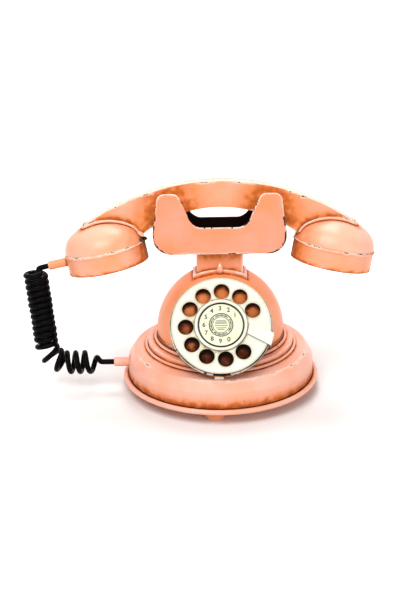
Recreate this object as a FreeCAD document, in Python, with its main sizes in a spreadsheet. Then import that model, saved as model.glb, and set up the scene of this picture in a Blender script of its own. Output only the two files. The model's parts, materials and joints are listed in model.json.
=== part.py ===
import FreeCAD, Part
import math
import os
import re

import Sketcher

# A cradle telephone with a rotary dial, in painted sheet metal.
# Millimetres, +Z up, the front towards -Y. The origin is on the table under the middle of the base.

doc = FreeCAD.newDocument("cradle_telephone")
Vector = FreeCAD.Vector
X_AXIS = Vector(1, 0, 0)
Y_AXIS = Vector(0, 1, 0)
Z_AXIS = Vector(0, 0, 1)

# Driving dimensions: name, value and what it measures. Angles are in degrees.
SIZES = [
    # Sheet, wire and clearances
    ("sheet_wall", 1.0, "thickness of the sheet metal"),
    ("bead_wire_radius", 1.15, "radius of the wire rings on the base"),
    ("wire_seat", 0.05, "gap between a wire and the shell that it lies on"),
    ("seat_gap", 0.2, "gap where one piece slips inside another"),
    ("slide_gap", 0.4, "gap round pieces that slide"),
    ("shaft_fit", 0.05, "radial clearance of a shaft in its bush"),
    ("rest_gap", 0.3, "gap under the handset where it lies in the cradle"),
    ("lap", 3.0, "width of the hidden flange where two shells meet"),
    # Base
    ("foot_radius", 8.2, "radius of a foot"),
    ("foot_height", 8.0, "height of a foot"),
    ("foot_inset", 12.4, "distance of a foot's middle inside the skirt's wall"),
    ("foot_angle", -95.0, "direction of the first foot"),
    ("base_plate_thickness", 1.5, "thickness of the base plate"),
    ("screw_head_radius", 3.0, "radius of a screw head"),
    ("screw_head_height", 1.8, "height of a screw head"),
    ("rim_wire_radius", 2.0, "radius of the rolled rim"),
    ("rim_rise", 2.6, "height of the rim's middle above the feet"),
    ("skirt_flare", 5.1, "width of the slope below the shoulder"),
    ("skirt_wall_height", 17.2, "height of the skirt's wall up to its crease"),
    ("shoulder_ledge", 10.7, "width of the shoulder outside the step"),
    ("shoulder_rise", 8.6, "height of the shoulder's edge above the crease"),
    ("shoulder_crown", 1.6, "rise of the shoulder towards the step"),
    ("step_ledge", 7.2, "width of the step outside the collar"),
    ("step_rise", 6.4, "height of the step above the shoulder's crown"),
    ("collar_gap", 0.4, "how far the collar stands outside the dome"),
    ("collar_rise", 4.2, "height of the collar above the step"),
    ("dome_radius", 49.0, "outer radius of the dome"),
    ("dome_rise", 4.0, "height of the dome's centre above the collar"),
    ("base_gland_radius", 3.6, "radius of the cord's gland on the base"),
    ("base_gland_rise", 14.6, "height of the cord's gland above the feet"),
    ("base_gland_length", 11.2, "length of the base gland outside the skirt"),
    ("inlet_radius", 5.0, "outer radius of the line inlet"),
    ("inlet_bore", 3.0, "radius of the line inlet's bore"),
    # Dial
    ("dial_tilt", 40.0, "elevation of the dial's axis"),
    ("dial_set_in", 1.6, "distance of the dial's centre inside the dome's front"),
    ("dial_rise", 20.4, "height of the dial's centre above the dome's centre"),
    ("wheel_radius", 37.0, "radius of the finger wheel to the middle of its bead"),
    ("wheel_thickness", 1.2, "thickness of the finger wheel"),
    ("wheel_bead_radius", 1.0, "radius of the bead round the wheel"),
    ("finger_hole_radius", 5.95, "radius of a finger hole"),
    ("finger_hole_circle", 26.6, "distance of a finger hole from the dial's axis"),
    ("first_hole_angle", 25.5, "direction of the first finger hole"),
    ("hole_step_angle", 31.4, "angle between finger holes"),
    ("hub_ring_width", 2.2, "width of the hub ring"),
    ("hub_ring_gap", 1.4, "gap between the number card and the hub ring"),
    ("hub_ring_height", 1.6, "height of the hub ring"),
    ("card_radius", 16.3, "radius of the number card"),
    ("card_thickness", 0.8, "thickness of the number card"),
    ("card_rise", 0.3, "height of the card's back above the wheel's front"),
    ("carrier_thickness", 1.2, "thickness of the wheel carrier's flange"),
    ("sleeve_radius", 5.0, "outer radius of the carrier's sleeve"),
    ("post_radius", 3.0, "radius of the fixed centre post"),
    ("dial_gap", 1.8, "gap behind the wheel carrier"),
    ("back_plate_margin", 1.0, "how far the back plate reaches past the wheel's bead"),
    ("back_plate_thickness", 1.0, "thickness of the dial's back plate"),
    ("bezel_wire_radius", 1.0, "radius of the bezel wire"),
    ("bezel_overhang", 0.8, "how far the bezel's middle lies outside the wheel's bead"),
    ("bezel_opening", 20.0, "angle left open at the bottom of the bezel wire"),
    ("drum_gap", 0.8, "gap between the dial drum and the governor's cup"),
    ("drum_depth", 26.0, "depth of the dial drum"),
    ("gear_set_back", 2.5, "gap between the drum's front and the gears"),
    ("tooth_module", 0.6, "module of the gear teeth"),
    ("gear_thickness", 3.0, "thickness of the gears"),
    ("tooth_root_depth", 1.0, "depth of a tooth below the pitch circle, in modules"),
    ("tooth_tip_height", 0.8, "height of a tooth above the pitch circle, in modules"),
    ("tooth_root_half", 0.75, "half the width of a tooth at its root, in modules"),
    ("tooth_tip_half", 0.35, "half the width of a tooth at its tip, in modules"),
    ("tooth_sink", 0.3, "depth by which a tooth sinks into the gear's rim, in modules"),
    ("mesh_gap", 0.2, "extra distance between the gears"),
    ("spring_can_radius", 8.0, "radius of the return spring's can"),
    ("spring_can_depth", 6.0, "depth of the return spring's can"),
    ("governor_radius", 3.2, "radius of the governor's weights"),
    ("governor_length", 6.0, "length of the governor's weights"),
    ("spindle_radius", 1.2, "radius of the governor spindle"),
    ("stop_hub_width", 7.0, "width of the finger stop at the hub"),
    ("stop_rim_width", 10.3, "width of the finger stop at the rim"),
    ("stop_skew", 2.4, "how far the finger stop's hub end lies to the side of its rim end"),
    ("stop_angle", -17.0, "direction of the finger stop's rim end"),
    ("stop_rise", 0.8, "gap between the finger stop and the wheel"),
    ("stop_thickness", 0.9, "thickness of the finger stop"),
    ("stop_foot", 6.0, "length of the finger stop's foot behind the back plate"),
    ("tab_width", 6.8, "width of the tab under the dial"),
    ("tab_set_in", 1.0, "distance of the tab inside the shoulder's edge"),
    ("tab_across", -2.0, "distance of the tab from the middle"),
    # Neck, hook switch and cradle
    ("neck_width", 36.0, "width of the neck"),
    ("neck_depth", 16.0, "depth of the neck"),
    ("neck_sink", 11.0, "how far the neck reaches down into the dome"),
    ("trim_wire", 2.2, "thickness of the wire frame round the neck"),
    ("trim_gap", 0.6, "gap between the neck and the wire frame"),
    ("clasp_radius", 2.7, "radius of the teardrop clasp"),
    ("clasp_height", 8.6, "height of the teardrop clasp"),
    ("hook_travel", 4.0, "travel of the cradle"),
    ("plunger_radius", 2.5, "radius of the hook plunger"),
    ("plunger_back", 2.0, "distance of the plunger behind the middle"),
    ("hook_spring_length", 18.0, "distance between the hook bracket's shelf and the neck"),
    ("hook_shelf_width", 18.0, "width of the hook bracket"),
    ("hook_shelf_thickness", 2.0, "thickness of the hook bracket"),
    ("hook_post_back", 11.0, "distance of the hook bracket's post behind the middle"),
    ("hook_spring_radius", 4.2, "mean radius of the hook spring"),
    ("hook_spring_wire", 0.6, "radius of the hook spring's wire"),
    ("hook_spring_pitch", 2.6, "pitch of the hook spring"),
    ("neck_rise", 15.4, "height of the cradle's lower edge above the dome"),
    ("cradle_height", 48.5, "height of the cradle over its horns"),
    ("cradle_half_width", 50.9, "half the cradle's width"),
    ("band_height", 18.18, "height of the cradle's edge band, which carries the handset"),
    ("horn_draw_in", 3.3, "how far a horn's top is drawn in from the cradle's side"),
    ("cradle_corner", 14.0, "radius of the cradle's lower corners"),
    ("cradle_depth", 26.0, "depth of the cradle over its plates"),
    ("horn_width", 16.1, "width of a horn at its top"),
    ("horn_corner", 6.0, "radius of a horn's corners"),
    ("rear_horn_drop", 5.0, "how much lower the rear horns are than the front ones"),
    ("notch_half_width", 14.6, "half the flat width of the notch"),
    ("notch_floor", 21.5, "height of the notch above the cradle's lower edge"),
    ("notch_corner", 12.0, "radius of the notch's corners"),
    ("notch_rise", 9.6, "width and height of the notch's corners"),
    # Handset
    ("handset_lean", 8.0, "angle by which the handset leans back in the cradle"),
    ("bar_height", 19.7, "height of the bar at its middle"),
    ("bar_depth", 15.0, "depth of the bar"),
    ("bar_top_radius", 176.0, "radius of the arch along the bar's top"),
    ("bar_low_radius", 94.0, "radius of the arch along the bar's underside"),
    ("bar_overhang", 15.6, "how far the bar's end reaches past the cup's middle"),
    ("bar_low_short", 22.6, "how far the underside's end stays short of the cup's middle"),
    ("bar_end_drop", 9.0, "depth by which the bar's end dips into the cup"),
    ("cup_offset", 87.8, "distance of a cup's seam from the middle"),
    ("cup_seam_drop", 27.3, "depth of a cup's seam below the arch of the bar's top"),
    ("cup_tilt", 11.5, "angle by which a cup faces inwards"),
    ("cup_radius", 31.0, "radius of a cup"),
    ("cup_knuckle", 16.0, "radius of the shoulder of a cup's dome"),
    ("cup_dome_height", 21.0, "height of a cup's dome"),
    ("cap_height", 15.0, "height of a cup's cap"),
    ("cap_bead_radius", 0.8, "radius of the bead round a cap"),
    ("cap_hole_radius", 1.6, "radius of a sound hole"),
    ("cap_hole_circle", 9.0, "distance of the sound holes from the cap's middle"),
    ("rib_wire", 2.2, "thickness of the wire rib round the bar's end"),
    ("rib_short", 32.6, "how far the rib starts short of the cup's middle"),
    ("capsule_gap", 4.0, "gap between a capsule and its cap's wall"),
    ("capsule_height", 9.0, "height of a capsule"),
    ("handset_gland_radius", 3.4, "radius of the cord's gland on the handset"),
    ("handset_gland_gap", 0.4, "gap between the handset's gland and the cap's bead"),
    ("handset_gland_length", 14.5, "length of the handset's gland"),
    # Cord
    ("cord_radius", 2.0, "radius of the cord"),
    ("coil_radius", 7.5, "mean radius of the cord's curls"),
    ("coil_bend", 17.0, "radius of the bend in the curled stretch"),
    ("coil_level_gap", 20.9, "distance of the level curls' end from the base gland"),
    ("coil_lead_out", 12.0, "length over which the curls run out into the tail"),
    ("coil_stub", 10.8, "length of straight cord before the first curl"),
    ("coil_slant", 6.0, "how far the hanging curls slant towards the base"),
    ("coil_lead_drop", 3.6, "drop from the straight cord's end to the first curl"),
    # Works in the base
    ("gong_radius", 20.0, "radius of a gong"),
    ("gong_height", 11.0, "height of a gong"),
    ("gong_wall", 1.2, "thickness of a gong"),
    ("gong_across", 30.0, "distance of a gong from the middle"),
    ("clapper_reach", 25.0, "distance of the gongs in front of the clapper's pivot"),
    ("gong_lift", 10.0, "height of a gong's rim above the base plate"),
    ("gong_post_radius", 2.5, "radius of a gong's post"),
    ("clapper_ball_radius", 3.0, "radius of the clapper's ball"),
    ("clapper_lift", 11.5, "height of the clapper above the base plate"),
    ("clapper_pivot_gap", 5.0, "distance of the clapper's pivot in front of the ringer coils"),
    ("clapper_arm_width", 2.4, "width of the clapper's arm"),
    ("clapper_pin_radius", 1.5, "radius of the clapper's pin"),
    ("coil_tower_radius", 6.0, "radius of a ringer coil"),
    ("coil_tower_across", 11.0, "distance of a ringer coil from the middle"),
    ("ringer_gap", 1.0, "gap between the ringer's frame and a screw head"),
    ("coil_tower_height", 15.0, "height of a ringer coil"),
    ("ringer_frame_thickness", 1.5, "thickness of the ringer's frame"),
    ("induction_radius", 7.0, "radius of the induction coil"),
    ("induction_length", 36.0, "length of the induction coil"),
    ("works_front", 30.0, "distance of the electrical pieces in front of the middle"),
    ("capacitor_width", 18.0, "width of the capacitor"),
    ("capacitor_height", 14.0, "height of the capacitor"),
    ("terminal_height", 9.0, "height of the terminal block"),
]
GEAR_TEETH = 28
PINION_TEETH = 10
FINGER_HOLES = 10
CAP_HOLES = 7
HANGING_CURLS = 12
BEND_CURLS = 3
LEVEL_CURLS = 2
# Part of a turn over which a curl's direction is measured
NUDGE = 0.01

# Sizes that follow from the ones above: name, formula and what it measures
GEAR_MEAN = (GEAR_TEETH + PINION_TEETH) / 2
DERIVED = [
    ("collar_radius", "dome_radius + collar_gap", "outer radius of the collar"),
    ("step_radius", "collar_radius + step_ledge", "outer radius of the step's riser"),
    ("shoulder_radius", "step_radius + shoulder_ledge", "outer radius of the shoulder"),
    ("skirt_radius", "shoulder_radius + skirt_flare", "outer radius of the skirt's wall"),
    ("foot_circle", "skirt_radius - foot_inset", "distance of a foot from the middle"),
    ("skirt_crease_height", "foot_height + skirt_wall_height", "height of the skirt's crease"),
    ("shoulder_height", "skirt_crease_height + shoulder_rise", "height of the shoulder's edge"),
    ("step_height", "shoulder_height + shoulder_crown + step_rise", "height of the step's top"),
    ("collar_height", "step_height + collar_rise", "height of the collar's top"),
    ("dome_centre_height", "collar_height + dome_rise", "height of the dome's centre"),
    ("base_gland_height", "foot_height + base_gland_rise", "height of the cord's gland on the base"),
    ("base_gland_reach", "skirt_radius + base_gland_length", "distance of the gland's end from the middle"),
    ("dial_forward", "dome_radius - dial_set_in", "distance of the dial's centre in front of the middle"),
    ("dial_height", "dome_centre_height + dial_rise", "height of the dial's centre"),
    ("hub_ring_inner", "card_radius + hub_ring_gap", "inner radius of the hub ring"),
    ("hub_ring_outer", "hub_ring_inner + hub_ring_width", "outer radius of the hub ring"),
    ("back_plate_radius", "wheel_radius + wheel_bead_radius + back_plate_margin", "radius of the back plate"),
    ("gear_distance", f"tooth_module * {GEAR_MEAN} + mesh_gap", "distance between the gears' axes"),
    ("drum_radius", "gear_distance + governor_radius + slide_gap + 2 * sheet_wall + drum_gap",
     "outer radius of the dial drum"),
    ("neck_foot_height", "dome_centre_height + dome_radius - neck_sink", "height of the neck's lower end"),
    ("hook_shelf_height", "neck_foot_height - hook_spring_length", "height of the hook bracket's shelf"),
    ("cradle_foot_height", "dome_centre_height + dome_radius + neck_rise",
     "height of the cradle's lower edge"),
    ("cradle_top_height", "cradle_foot_height + cradle_height", "height of the cradle's horns"),
    ("cradle_top_half_width", "cradle_half_width - horn_draw_in", "half the width over the horns"),
    ("horn_inner", "cradle_top_half_width - horn_width", "distance of a horn's inner corner from the middle"),
    ("notch_height", "cradle_foot_height + notch_floor", "height of the notch"),
    ("band_top_height", "cradle_foot_height + band_height", "height of the cradle's edge band"),
    ("handset_rest_height", "band_top_height + rest_gap + bar_depth / 2 * sin(handset_lean)",
     "height of the line about which the handset leans"),
    ("bar_top_height", "handset_rest_height + bar_height + bar_low_radius"
     " - sqrt(bar_low_radius^2 - cradle_half_width^2)", "height of the bar's top"),
    ("cup_seam_height", "bar_top_height - bar_top_radius + sqrt(bar_top_radius^2 - cup_offset^2)"
     " - cup_seam_drop", "height of a cup's seam"),
    ("bar_reach", "cup_offset + bar_overhang", "distance of the bar's end from the middle"),
    ("bar_low_reach", "cup_offset - bar_low_short", "distance of the underside's end from the middle"),
    ("rib_inner", "cup_offset - rib_short", "distance of the rib's inner end from the middle"),
    ("capsule_radius", "cup_radius - sheet_wall - capsule_gap", "radius of a capsule"),
    ("handset_gland_drop", "2 * cap_bead_radius + handset_gland_radius + handset_gland_gap",
     "distance of the handset's gland below the seam"),
    ("coil_tower_back", "foot_circle - screw_head_radius - ringer_gap - coil_tower_radius",
     "distance of the ringer coils behind the middle"),
    ("clapper_pivot_back", "coil_tower_back - clapper_pivot_gap",
     "distance of the clapper's pivot behind the middle"),
    ("gong_back", "clapper_pivot_back - clapper_reach", "distance of the gongs behind the middle"),
    ("coil_level_end", "base_gland_reach + coil_level_gap",
     "distance of the level curls' end from the middle"),
]

SHEET_NAMES = {name for name, value, meaning in SIZES + DERIVED}
sheet = doc.addObject("Spreadsheet::Sheet", "dims")
for row, (name, value, meaning) in enumerate(SIZES + DERIVED, start=1):
    sheet.set(f"A{row}", meaning)
    sheet.set(f"B{row}", str(value) if row <= len(SIZES) else "=" + value)
    sheet.setAlias(f"B{row}", name)
doc.recompute()


def size(text):
    """The present value of a formula in the sheet's names."""
    return float(sheet.evalExpression(text))


def formula(text):
    """The same formula, written for an object other than the sheet."""
    def from_sheet(word):
        return "dims." + word.group() if word.group() in SHEET_NAMES else word.group()
    return re.sub(r"[a-z_]+", from_sheet, text)


def bind(thing, **texts):
    """Ties properties of an object to formulas."""
    for name, text in texts.items():
        thing.setExpression(name, formula(text))


def place_at(thing, x="0", y="0", z="0"):
    """Ties an object's position to formulas."""
    for axis, text in (("x", x), ("y", y), ("z", z)):
        thing.setExpression("Placement.Base." + axis, formula(text))
    return thing


def primitive(kind, label, x="0", y="0", z="0", **texts):
    """A Part primitive with its sizes and its position tied to the sheet."""
    thing = doc.addObject("Part::" + kind, label)
    bind(thing, **texts)
    return place_at(thing, x, y, z)


def box(label, x, y, z):
    """A box between two formulas on each axis."""
    low_to_high = [f"({high}) - ({low})" for low, high in (x, y, z)]
    return primitive("Box", label, x[0], y[0], z[0],
                     Length=low_to_high[0], Width=low_to_high[1], Height=low_to_high[2])


def rod(label, radius, low, high, x="0", y="0"):
    """An upright cylinder between two heights."""
    return primitive("Cylinder", label, x, y, low, Radius=radius, Height=f"({high}) - ({low})")


def cut(label, base, *tools):
    """A piece with others taken away from it."""
    for number, tool in enumerate(tools, start=1):
        result = doc.addObject("Part::Cut", label if number == len(tools) else f"{label}_cut_{number}")
        result.Base = base
        result.Tool = tool
        base = result
    return base


def fuse(label, *pieces):
    """Touching pieces made one."""
    result = doc.addObject("Part::MultiFuse", label)
    result.Shapes = list(pieces)
    result.Refine = True
    return result


def group(label, pieces):
    """Separate solids that share one node."""
    result = doc.addObject("Part::Compound", label)
    result.Links = list(pieces)
    return result


def arc_middle(start, end, radius, side):
    """The middle of the short arc between two points, with its centre on the given side."""
    chord = end - start
    half = chord.Length / 2
    left = Vector(-chord.y, chord.x, 0).normalize()
    sag = radius - math.sqrt(radius ** 2 - half ** 2)
    return (start + end) * 0.5 + left * (-sag if side == "left" else sag)


def outline(body, plane, points, name="outline"):
    """A closed sketch through points given as formulas.

    A point is (across, up), or (across, up, radius, side) where the stretch that ends there is an
    arc with its centre to the left or the right of the way along the outline.
    """
    sketch = body.newObject("Sketcher::SketchObject", f"{body.Name}_{name}")
    support = next(item for item in body.Origin.OriginFeatures if item.Role == plane)
    sketch.AttachmentSupport = (support, "")
    sketch.MapMode = "FlatFace"
    corners = [Vector(size(point[0]), size(point[1]), 0) for point in points]
    count = len(points)
    for number in range(count):
        start = corners[number]
        end = corners[(number + 1) % count]
        target = points[(number + 1) % count]
        if len(target) == 2:
            sketch.addGeometry(Part.LineSegment(start, end), False)
        else:
            middle = arc_middle(start, end, size(target[2]), target[3])
            ends = (start, end) if target[3] == "left" else (end, start)
            sketch.addGeometry(Part.Arc(ends[0], middle, ends[1]), False)
    # A sketch keeps every arc anticlockwise, so one that bends to the right is met at its far end
    first_ends = []
    for number in range(count):
        target = points[(number + 1) % count]
        first_ends.append(2 if len(target) > 2 and target[3] == "right" else 1)
    for number in range(count):
        following = (number + 1) % count
        sketch.addConstraint(Sketcher.Constraint(
            "Coincident", number, 3 - first_ends[number], following, first_ends[following]))
    for number, point in enumerate(points):
        for kind, text in (("DistanceX", point[0]), ("DistanceY", point[1])):
            index = sketch.addConstraint(Sketcher.Constraint(
                kind, -1, 1, number, first_ends[number], size(text)))
            sketch.setExpression(f"Constraints[{index}]", formula(text))
        if len(point) > 2:
            arc = (number - 1) % count
            index = sketch.addConstraint(Sketcher.Constraint("Radius", arc, size(point[2])))
            sketch.setExpression(f"Constraints[{index}]", formula(point[2]))
    return sketch


def turned(label, points, angle="360"):
    """A piece turned about its own upright axis."""
    body = doc.addObject("PartDesign::Body", label)
    sketch = outline(body, "XZ_Plane", points)
    turn = body.newObject("PartDesign::Revolution", label + "_turn")
    turn.Profile = sketch
    turn.ReferenceAxis = (sketch, ["V_Axis"])
    bind(turn, Angle=angle)
    return body


def plate(label, plane, points, thickness, symmetric=False):
    """A flat piece cut to an outline. It grows towards -Y, or +Z on the ground plane."""
    body = doc.addObject("PartDesign::Body", label)
    sketch = outline(body, plane, points)
    pad = body.newObject("PartDesign::Pad", label + "_pad")
    pad.Profile = sketch
    pad.SideType = "Symmetric" if symmetric else "One side"
    bind(pad, Length=thickness)
    return body


def tube(label, inner, outer, low, high):
    """A turned ring, or a rod where the inner radius is 0."""
    return turned(label, [(inner, low), (outer, low), (outer, high), (inner, high)])


def lay(thing, axis, angle):
    """Turns a piece about its own origin."""
    thing.Placement = FreeCAD.Placement(thing.Placement.Base, FreeCAD.Rotation(axis, angle))
    return thing


nodes = []


def keep(piece):
    """Marks a finished piece, whose label names its node."""
    nodes.append(piece)
    return piece


# Heights and radii that several pieces of the base share
PLATE_TOP = "(foot_height + base_plate_thickness)"
SHOULDER_TOP = "(shoulder_height + shoulder_crown)"
SHOULDER_INNER = "(step_radius + 2 * bead_wire_radius)"


def make_feet():
    """Four round feet, with the screws that hold them through the base plate."""
    feet = []
    screws = []
    for number in range(4):
        angle = f"(foot_angle + {90 * number})"
        x = f"foot_circle * cos({angle})"
        y = f"foot_circle * sin({angle})"
        feet.append(rod(f"foot_{number}", "foot_radius", "0", "foot_height", x, y))
        screws.append(rod(f"base_screw_{number}", "screw_head_radius", PLATE_TOP,
                          f"{PLATE_TOP} + screw_head_height", x, y))
    keep(group("feet", feet))
    keep(group("base_screws", screws))


def make_base_shells():
    """Base plate, skirt with its rolled rim, step, collar and the two wire rings."""
    keep(rod("base_plate", "skirt_radius - sheet_wall - seat_gap", "foot_height", PLATE_TOP))
    keep(primitive("Torus", "rim_bead", z="foot_height + rim_rise",
                   Radius1="skirt_radius + rim_wire_radius + wire_seat", Radius2="rim_wire_radius"))
    skirt = turned("skirt_blank", [
        ("skirt_radius - sheet_wall", "foot_height"),
        ("skirt_radius", "foot_height"),
        ("skirt_radius", "skirt_crease_height"),
        ("shoulder_radius", "shoulder_height"),
        (SHOULDER_INNER, SHOULDER_TOP),
        ("step_radius - lap", SHOULDER_TOP),
        ("step_radius - lap", f"{SHOULDER_TOP} - sheet_wall"),
        (SHOULDER_INNER, f"{SHOULDER_TOP} - sheet_wall"),
        ("shoulder_radius - sheet_wall / 2", "shoulder_height - sheet_wall"),
        ("skirt_radius - sheet_wall", "skirt_crease_height - sheet_wall / 2"),
    ])
    keep(cut("skirt", skirt, inlet_rod("inlet_hole", "inlet_radius")))
    keep(cut("line_inlet", inlet_rod("inlet_blank", "inlet_radius - wire_seat"),
             inlet_rod("inlet_bore_tool", "inlet_bore")))
    keep(turned("step_ring", [
        ("step_radius - sheet_wall", SHOULDER_TOP),
        ("step_radius", SHOULDER_TOP),
        ("step_radius", "step_height"),
        ("collar_radius - lap", "step_height"),
        ("collar_radius - lap", "step_height - sheet_wall"),
        ("step_radius - sheet_wall", "step_height - sheet_wall"),
    ]))
    keep(tube("collar", "collar_radius - sheet_wall", "collar_radius", "step_height", "collar_height"))
    for label, shell, foot in (("lower_wire_ring", "step_radius", SHOULDER_TOP),
                               ("upper_wire_ring", "collar_radius", "step_height")):
        keep(primitive("Torus", label, z=f"{foot} + bead_wire_radius + wire_seat",
                       Radius1=f"{shell} + bead_wire_radius + wire_seat", Radius2="bead_wire_radius"))


def inlet_rod(label, radius):
    """A rod through the back of the skirt, where the line comes in."""
    piece = primitive("Cylinder", label, y="skirt_radius - lap",
                      z="foot_height + rim_rise + rim_wire_radius + inlet_radius",
                      Radius=radius, Height="lap + inlet_bore")
    return lay(piece, X_AXIS, -90)


def make_base_gland():
    """The tube on the skirt's left side that the cord goes into."""
    blank = primitive("Cylinder", "base_gland_blank", x="-(skirt_radius - lap)", y=CORD_Y,
                      z="base_gland_height", Radius="base_gland_radius",
                      Height="base_gland_reach - skirt_radius + lap")
    lay(blank, Y_AXIS, -90)
    keep(cut("base_gland", blank, rod("base_gland_seat", "skirt_radius + wire_seat", "0", "step_height")))


# Levels along the dial's axis, counted outwards from the wheel's front
CARRIER_BACK = "(-wheel_thickness - carrier_thickness)"
PLATE_FRONT = f"({CARRIER_BACK} - dial_gap)"
PLATE_BACK = f"({PLATE_FRONT} - back_plate_thickness)"
DRUM_BACK = f"({PLATE_BACK} - drum_depth)"
DRUM_FLOOR = f"({DRUM_BACK} + sheet_wall)"
GEAR_FRONT = f"({PLATE_BACK} - gear_set_back)"
GEAR_BACK = f"({GEAR_FRONT} - gear_thickness)"
CAN_FRONT = f"({GEAR_BACK} - sheet_wall)"
CAN_BACK = f"({CAN_FRONT} - spring_can_depth)"


def in_dial(thing, up="0", out="0", turn="0"):
    """Puts a piece that is modelled about an upright axis on the dial."""
    tilt = FreeCAD.Rotation(X_AXIS, 90 - size("dial_tilt"))
    spin = FreeCAD.Rotation(Z_AXIS, size(turn))
    thing.Placement = FreeCAD.Placement(Vector(), tilt * spin)
    return place_at(thing, "0",
                    f"-dial_forward + ({up}) * sin(dial_tilt) - ({out}) * cos(dial_tilt)",
                    f"dial_height + ({up}) * cos(dial_tilt) + ({out}) * sin(dial_tilt)")


def make_dome():
    """The domed body, open at the top for the neck and at the front for the dial."""
    edge = "collar_height - dome_centre_height"
    blank = turned("dome_blank", [
        (f"sqrt((dome_radius - sheet_wall)^2 - ({edge})^2)", "collar_height",
         "dome_radius - sheet_wall", "right"),
        (f"sqrt(dome_radius^2 - ({edge})^2)", "collar_height"),
        ("0", "dome_centre_height + dome_radius", "dome_radius", "left"),
        ("0", "dome_centre_height + dome_radius - sheet_wall"),
    ])
    neck_hole = neck_box("neck_hole", "slide_gap", "dome_centre_height", "cradle_foot_height")
    recess = in_dial(tube("dial_recess", "0", "back_plate_radius + seat_gap",
                          f"{PLATE_BACK} - seat_gap", "dome_radius"))
    drum_hole = in_dial(tube("drum_hole", "0", "drum_radius + seat_gap", DRUM_BACK, "0"))
    keep(cut("dome", blank, neck_hole, recess, drum_hole))


def make_dial_frame():
    """What stands still on the dial: back plate, drum, post, card, bezel, finger stop and tab."""
    keep(in_dial(tube("dial_back_plate", "sleeve_radius + slide_gap", "back_plate_radius",
                      PLATE_BACK, PLATE_FRONT)))
    keep(in_dial(turned("dial_drum", [
        ("0", DRUM_BACK),
        ("drum_radius", DRUM_BACK),
        ("drum_radius", PLATE_BACK),
        ("drum_radius - sheet_wall", PLATE_BACK),
        ("drum_radius - sheet_wall", DRUM_FLOOR),
        ("0", DRUM_FLOOR),
    ])))
    keep(in_dial(tube("dial_post", "0", "post_radius", DRUM_FLOOR, "card_rise")))
    keep(in_dial(tube("number_card", "0", "card_radius", "card_rise", "card_rise + card_thickness")))
    bezel = primitive("Torus", "bezel_wire", z=f"{PLATE_FRONT} + bezel_wire_radius + wire_seat",
                      Radius1="wheel_radius + bezel_overhang", Radius2="bezel_wire_radius",
                      Angle3="360 - bezel_opening")
    keep(in_dial(group("dial_bezel", [bezel]), turn="bezel_opening / 2 - 90"))
    keep(in_dial(tube("return_spring_can", "sleeve_radius + slide_gap", "spring_can_radius",
                      CAN_BACK, CAN_FRONT)))
    make_finger_stop()
    make_tab()


def make_finger_stop():
    """A plate over the wheel that widens to the rim, bent back round its edge and under the back plate."""
    start = "hub_ring_outer + stop_rise"
    leg = "(back_plate_radius + seat_gap)"
    half_rim = "stop_rim_width / 2"
    top = plate("stop_plate", "XY_Plane", [
        (start, "stop_skew - stop_hub_width / 2"),
        (f"{leg} + stop_thickness", f"-{half_rim}"),
        (f"{leg} + stop_thickness", half_rim),
        (start, "stop_skew + stop_hub_width / 2"),
    ], "stop_thickness")
    place_at(top, z="stop_rise")
    across = (f"-{half_rim}", half_rim)
    upright = box("stop_leg", (leg, f"{leg} + stop_thickness"), across,
                  (f"{PLATE_BACK} - stop_thickness", "stop_rise + stop_thickness"))
    foot = box("stop_foot", (f"{leg} - stop_foot", leg), across,
               (f"{PLATE_BACK} - stop_thickness", PLATE_BACK))
    keep(in_dial(fuse("finger_stop", top, upright, foot), turn="stop_angle"))


def make_tab():
    """The strip that ties the dial's lower edge to the shoulder."""
    front = "-(shoulder_radius - tab_set_in)"
    foot = (f"shoulder_height + wire_seat + shoulder_crown * (tab_set_in + sheet_wall)"
            f" / (shoulder_radius - {SHOULDER_INNER})")
    blank = box("tab_blank", ("tab_across - tab_width / 2", "tab_across + tab_width / 2"),
                (front, f"{front} + sheet_wall"), (foot, "dial_height"))
    reach = "back_plate_radius"
    over_plate = box("tab_trim_box", (f"-{reach}", reach), (f"-2 * {reach}", reach), (PLATE_BACK, reach))
    keep(cut("dial_tab", blank, in_dial(group("tab_trim", [over_plate]))))


def make_finger_wheel():
    """The wheel with its ten holes, the hub ring on it and the carrier behind it."""
    disc = tube("wheel_disc", "hub_ring_inner", "wheel_radius", "-wheel_thickness", "0")
    bead = primitive("Torus", "wheel_bead", z="-wheel_thickness / 2",
                     Radius1="wheel_radius", Radius2="wheel_bead_radius")
    holes = []
    for number in range(FINGER_HOLES):
        angle = f"(first_hole_angle + {number} * hole_step_angle)"
        holes.append(rod(f"finger_hole_{number}", "finger_hole_radius",
                         "-2 * wheel_thickness", "wheel_thickness",
                         f"finger_hole_circle * cos({angle})", f"finger_hole_circle * sin({angle})"))
    keep(in_dial(cut("finger_wheel", fuse("wheel_blank", disc, bead), group("finger_holes", holes))))
    keep(in_dial(tube("hub_ring", "hub_ring_inner", "hub_ring_outer", "0", "hub_ring_height")))
    keep(in_dial(turned("wheel_carrier", [
        ("post_radius + shaft_fit", f"{CAN_BACK} - seat_gap"),
        ("sleeve_radius", f"{CAN_BACK} - seat_gap"),
        ("sleeve_radius", CARRIER_BACK),
        ("hub_ring_outer", CARRIER_BACK),
        ("hub_ring_outer", "-wheel_thickness"),
        ("post_radius + shaft_fit", "-wheel_thickness"),
    ])))


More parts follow.
